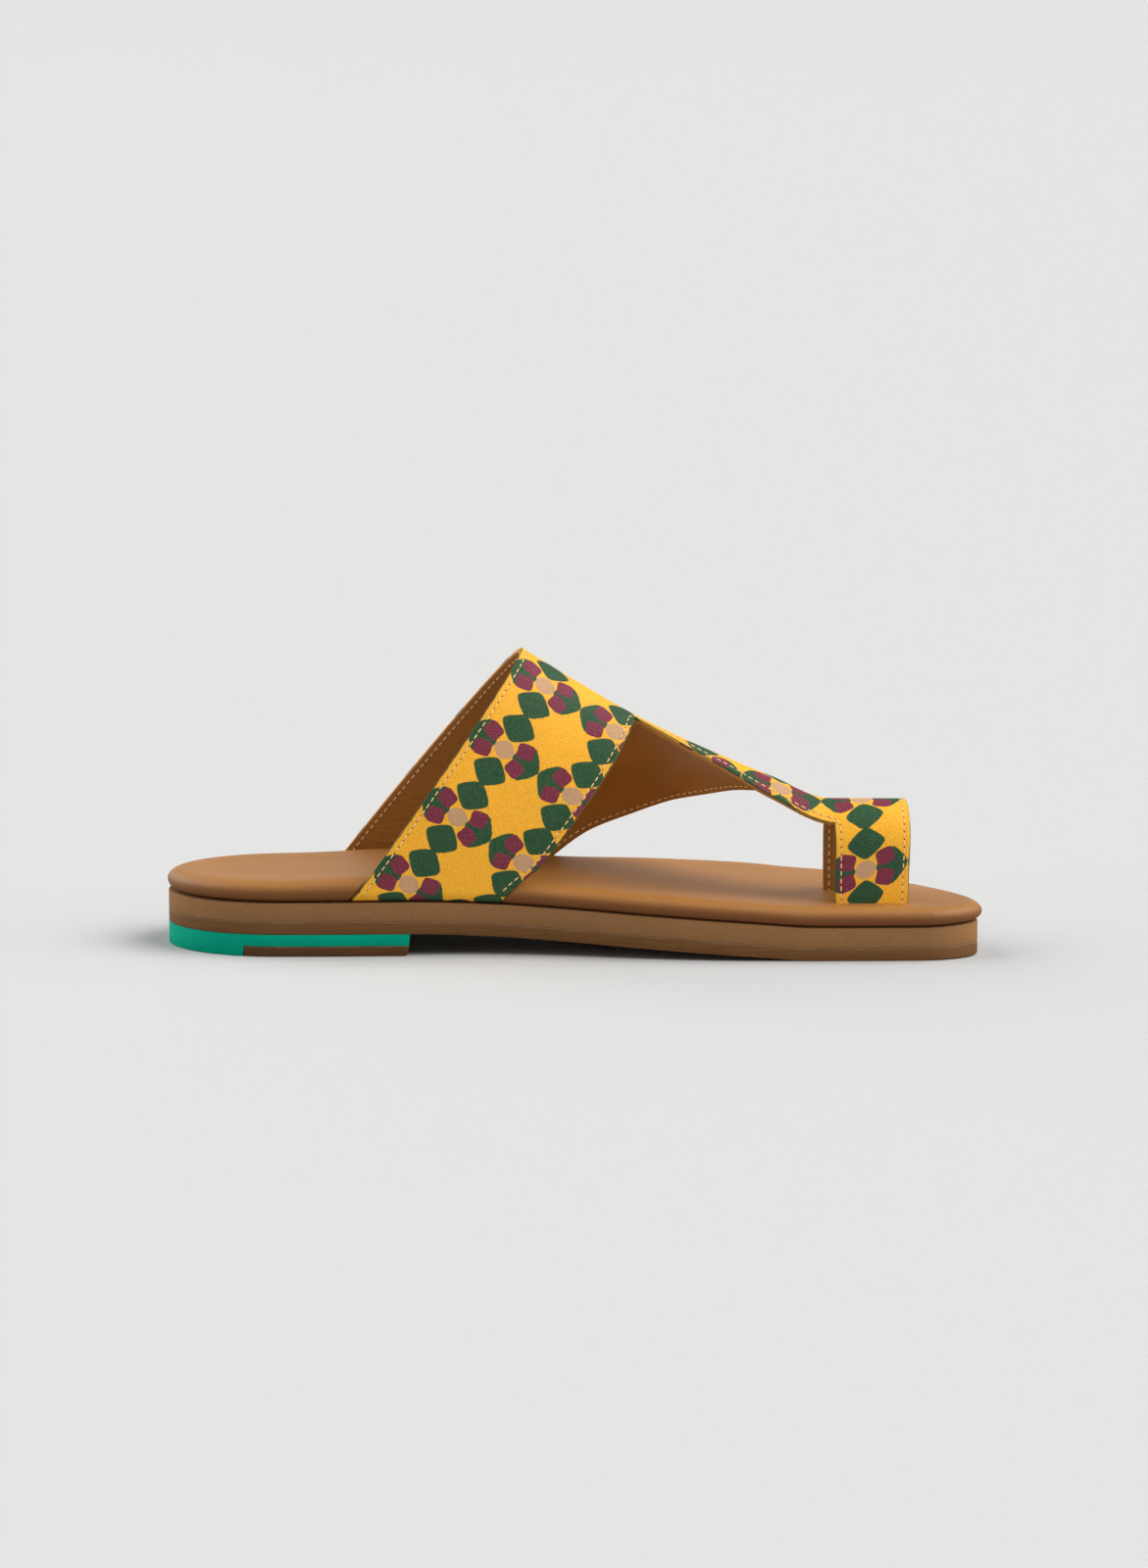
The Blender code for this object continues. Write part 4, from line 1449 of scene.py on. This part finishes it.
def sewn_piece(name, tree, lines, values):
    """Plain mesh of stitches or holes along lines of points and outward directions."""
    points = np.concatenate([to_frame(line) for line, _ in lines])
    outward = np.concatenate([direction for _, direction in lines])
    edges = []
    start = 0
    for line, _ in lines:
        edges += [(start + i, start + i + 1) for i in range(len(line) - 1)]
        start += len(line)
    mesh = bpy.data.meshes.new(name + "_line")
    mesh.from_pydata(points.tolist(), edges, [])
    layer = mesh.attributes.new("outward", "FLOAT_VECTOR", "POINT")
    layer.data.foreach_set("vector", outward.astype(np.float32).ravel())
    carrier = bpy.data.objects.new(name + "_line", mesh)
    bpy.context.scene.collection.objects.link(carrier)
    rows = carrier.modifiers.new("sewn_row", "NODES")
    rows.node_group = tree
    for socket in tree.interface.items_tree:
        if socket.in_out == "INPUT" and socket.name in values:
            rows[socket.identifier] = values[socket.name]
    shown = carrier.evaluated_get(bpy.context.evaluated_depsgraph_get())
    sewn = bpy.data.meshes.new_from_object(shown)
    carrier.modifiers.remove(rows)
    bpy.data.objects.remove(carrier, do_unlink=True)
    piece = bpy.data.objects.new(name, sewn)
    bpy.context.scene.collection.objects.link(piece)
    return piece


class SANDAL_OT_stitches(bpy.types.Operator):
    """Stitches along every edge of the upper, outside and inside, and their needle holes"""

    bl_idname = "sandal.stitches"
    bl_label = "Stitches"

    def execute(self, context):
        sizes = context.scene.sandal_sizes
        colours = context.scene.sandal_colours
        form = LeatherForm()
        outside = []
        inside = []
        for path in edge_paths(form):
            place, reach = stitch_line(form, path, sizes.stitch_inset / MM)
            point = form.point(place, reach)
            normal = form.normal(place, reach)
            outside.append((point - SEWN_DEPTH * normal, normal))
            inside.append((point - (WALL - SEWN_DEPTH) * normal, -normal))
        tree = stitch_tree()
        thread = 2 * sizes.thread_radius
        width = 2 * sizes.hole_radius
        stitch = {"Length": sizes.stitch_length, "Width": thread, "Height": thread}
        # Needle holes: flat dark shapes that paint the shade inside the holes
        height = HOLE_HEIGHT * MM
        hole = {"Length": HOLE_LONG * width, "Width": width, "Height": height, "Holes": True}
        pieces = (
            ("stitches_outside", outside, stitch, thread_finish("cream_thread", colours.thread)),
            ("stitches_inside", inside, stitch, thread_finish("tan_thread", colours.lining_thread)),
            ("needle_holes_outside", outside, hole, hole_shade_finish(colours)),
            ("needle_holes_inside", inside, hole, hole_shade_finish(colours)),
        )
        for name, lines, values, material in pieces:
            values = dict(values, Pitch=sizes.stitch_pitch, Material=material)
            piece = sewn_piece(name, tree, lines, values)
            settle(piece, "upper", None)
        return {"FINISHED"}


# Stage
CAMERA_LENS = 119.46
CAMERA_SENSOR = 36.0
CAMERA_DISTANCE = 1.8
CAMERA_ELEVATION = math.radians(8.5)
CAMERA_AIM = (0.00075, -0.0035, 0.0546)

# Floor that rises gently far away: radius and height of its rings, in metres
FLOOR_RINGS = table(
    "FloorRow", "radius height",
    (16.0, 0.0), (24.0, 0.1), (40.0, 0.9), (60.0, 3.5), (90.0, 10.0),
)
FLOOR_SIDES = 64

# Wide distant lights beyond the toe, behind the shoe and beyond the heel: direction they come from,
# strength, and angle in degrees
SUNS = table(
    "SunRow", "name source strength angle",
    ("key_light", (0.68, -0.08, 0.73), 3.8, 60.0),
    ("back_light", (0.10, 0.96, 0.25), 0.3, 60.0),
    ("heel_light", (-0.93, 0.26, 0.26), 4.2, 90.0),
)

# Near lamp before the toe: place and size in metres, power in watts
TOE_LAMP_PLACE = (0.42, -0.40, 0.15)
TOE_LAMP_SIZE = 0.28
TOE_LAMP_POWER = 0.6
SKY = (1.0, 1.0, 1.0, 1.0)
SKY_STRENGTH = 0.15


def put_floor(scene):
    """Pale floor, wide enough for every view."""
    mesh = bpy.data.meshes.new("floor")
    corners = []
    for row in FLOOR_RINGS:
        for angle in np.arange(FLOOR_SIDES) * 2 * math.pi / FLOOR_SIDES:
            corners.append((row.radius * math.cos(angle), row.radius * math.sin(angle), row.height))
    faces = [tuple(range(FLOOR_SIDES))]
    for start in range(0, len(corners) - FLOOR_SIDES, FLOOR_SIDES):
        for i in range(FLOOR_SIDES):
            j = (i + 1) % FLOOR_SIDES
            faces.append((start + i, start + FLOOR_SIDES + i, start + FLOOR_SIDES + j, start + j))
    mesh.from_pydata(corners, [], faces)
    mesh.shade_smooth()
    floor = bpy.data.objects.new("floor", mesh)
    scene.collection.objects.link(floor)
    finish = Finish("pale_floor")
    finish.shade(
        Base_Color=paint(scene.sandal_colours.floor), Roughness=0.9, Specular_IOR_Level=0.1)
    mesh.materials.append(finish.material)
    return floor


def put_lamp(scene, data, place):
    """Lamp at a place, turned towards the sandal."""
    lamp = bpy.data.objects.new(data.name, data)
    lamp.location = place
    lamp.rotation_euler = (-Vector(place)).to_track_quat("-Z", "Y").to_euler()
    scene.collection.objects.link(lamp)
    return lamp


def put_lights(scene, floor):
    """Wide distant lights, a near lamp that lights the sandal but not the floor, and a dim sky."""
    for row in SUNS:
        data = bpy.data.lights.new(row.name, "SUN")
        data.energy = row.strength
        data.angle = math.radians(row.angle)
        put_lamp(scene, data, row.source)
    data = bpy.data.lights.new("toe_light", "AREA")
    data.shape = "DISK"
    data.size = TOE_LAMP_SIZE
    data.energy = TOE_LAMP_POWER
    lamp = put_lamp(scene, data, TOE_LAMP_PLACE)
    unlit = bpy.data.collections.new("unlit_by_toe_light")
    unlit.objects.link(floor)
    unlit.collection_objects[0].light_linking.link_state = "EXCLUDE"
    lamp.light_linking.receiver_collection = unlit
    scene.world = bpy.data.worlds.new("studio")
    scene.world.use_nodes = True
    sky = scene.world.node_tree.nodes["Background"]
    sky.inputs["Color"].default_value = SKY
    sky.inputs["Strength"].default_value = SKY_STRENGTH


def put_camera(scene):
    """Camera at the photograph's viewing angle."""
    data = bpy.data.cameras.new("camera")
    data.lens = CAMERA_LENS
    data.sensor_width = CAMERA_SENSOR
    camera = bpy.data.objects.new("camera", data)
    back = Vector((0.0, -math.cos(CAMERA_ELEVATION), math.sin(CAMERA_ELEVATION)))
    camera.location = Vector(CAMERA_AIM) + CAMERA_DISTANCE * back
    camera.rotation_euler = (-back).to_track_quat("-Z", "Y").to_euler()
    scene.collection.objects.link(camera)
    scene.camera = camera


class SANDAL_OT_stage(bpy.types.Operator):
    """Pale floor, soft light and the camera"""

    bl_idname = "sandal.stage"
    bl_label = "Stage"

    def execute(self, context):
        scene = context.scene
        floor = put_floor(scene)
        put_lights(scene, floor)
        put_camera(scene)
        scene.view_settings.view_transform = "Standard"
        return {"FINISHED"}


class SANDAL_PT_panel(bpy.types.Panel):
    """Steps and values of the sandal"""

    bl_idname = "SANDAL_PT_panel"
    bl_label = "Sandal"
    bl_space_type = "VIEW_3D"
    bl_region_type = "UI"
    bl_category = "Sandal"

    def draw(self, context):
        layout = self.layout
        for operator in OPERATORS:
            layout.operator(operator.bl_idname)
        for group in (context.scene.sandal_sizes, context.scene.sandal_colours):
            for name in group.bl_rna.properties.keys():
                if name not in ("rna_type", "name"):
                    layout.prop(group, name)


OPERATORS = (
    SANDAL_OT_footbed,
    SANDAL_OT_sole,
    SANDAL_OT_heel,
    SANDAL_OT_upper,
    SANDAL_OT_stitches,
    SANDAL_OT_stage,
)
CLASSES = (SandalSizes, SandalColours, *OPERATORS, SANDAL_PT_panel)


def register():
    for item in CLASSES:
        bpy.utils.register_class(item)
    bpy.types.Scene.sandal_sizes = PointerProperty(type=SandalSizes)
    bpy.types.Scene.sandal_colours = PointerProperty(type=SandalColours)


def unregister():
    del bpy.types.Scene.sandal_colours
    del bpy.types.Scene.sandal_sizes
    for item in reversed(CLASSES):
        bpy.utils.unregister_class(item)


def main():
    """Makes every piece in order."""
    register()
    for operator in OPERATORS:
        group, name = operator.bl_idname.split(".")
        getattr(getattr(bpy.ops, group), name)()
    bpy.context.view_layer.update()


if __name__ == "__main__":
    main()
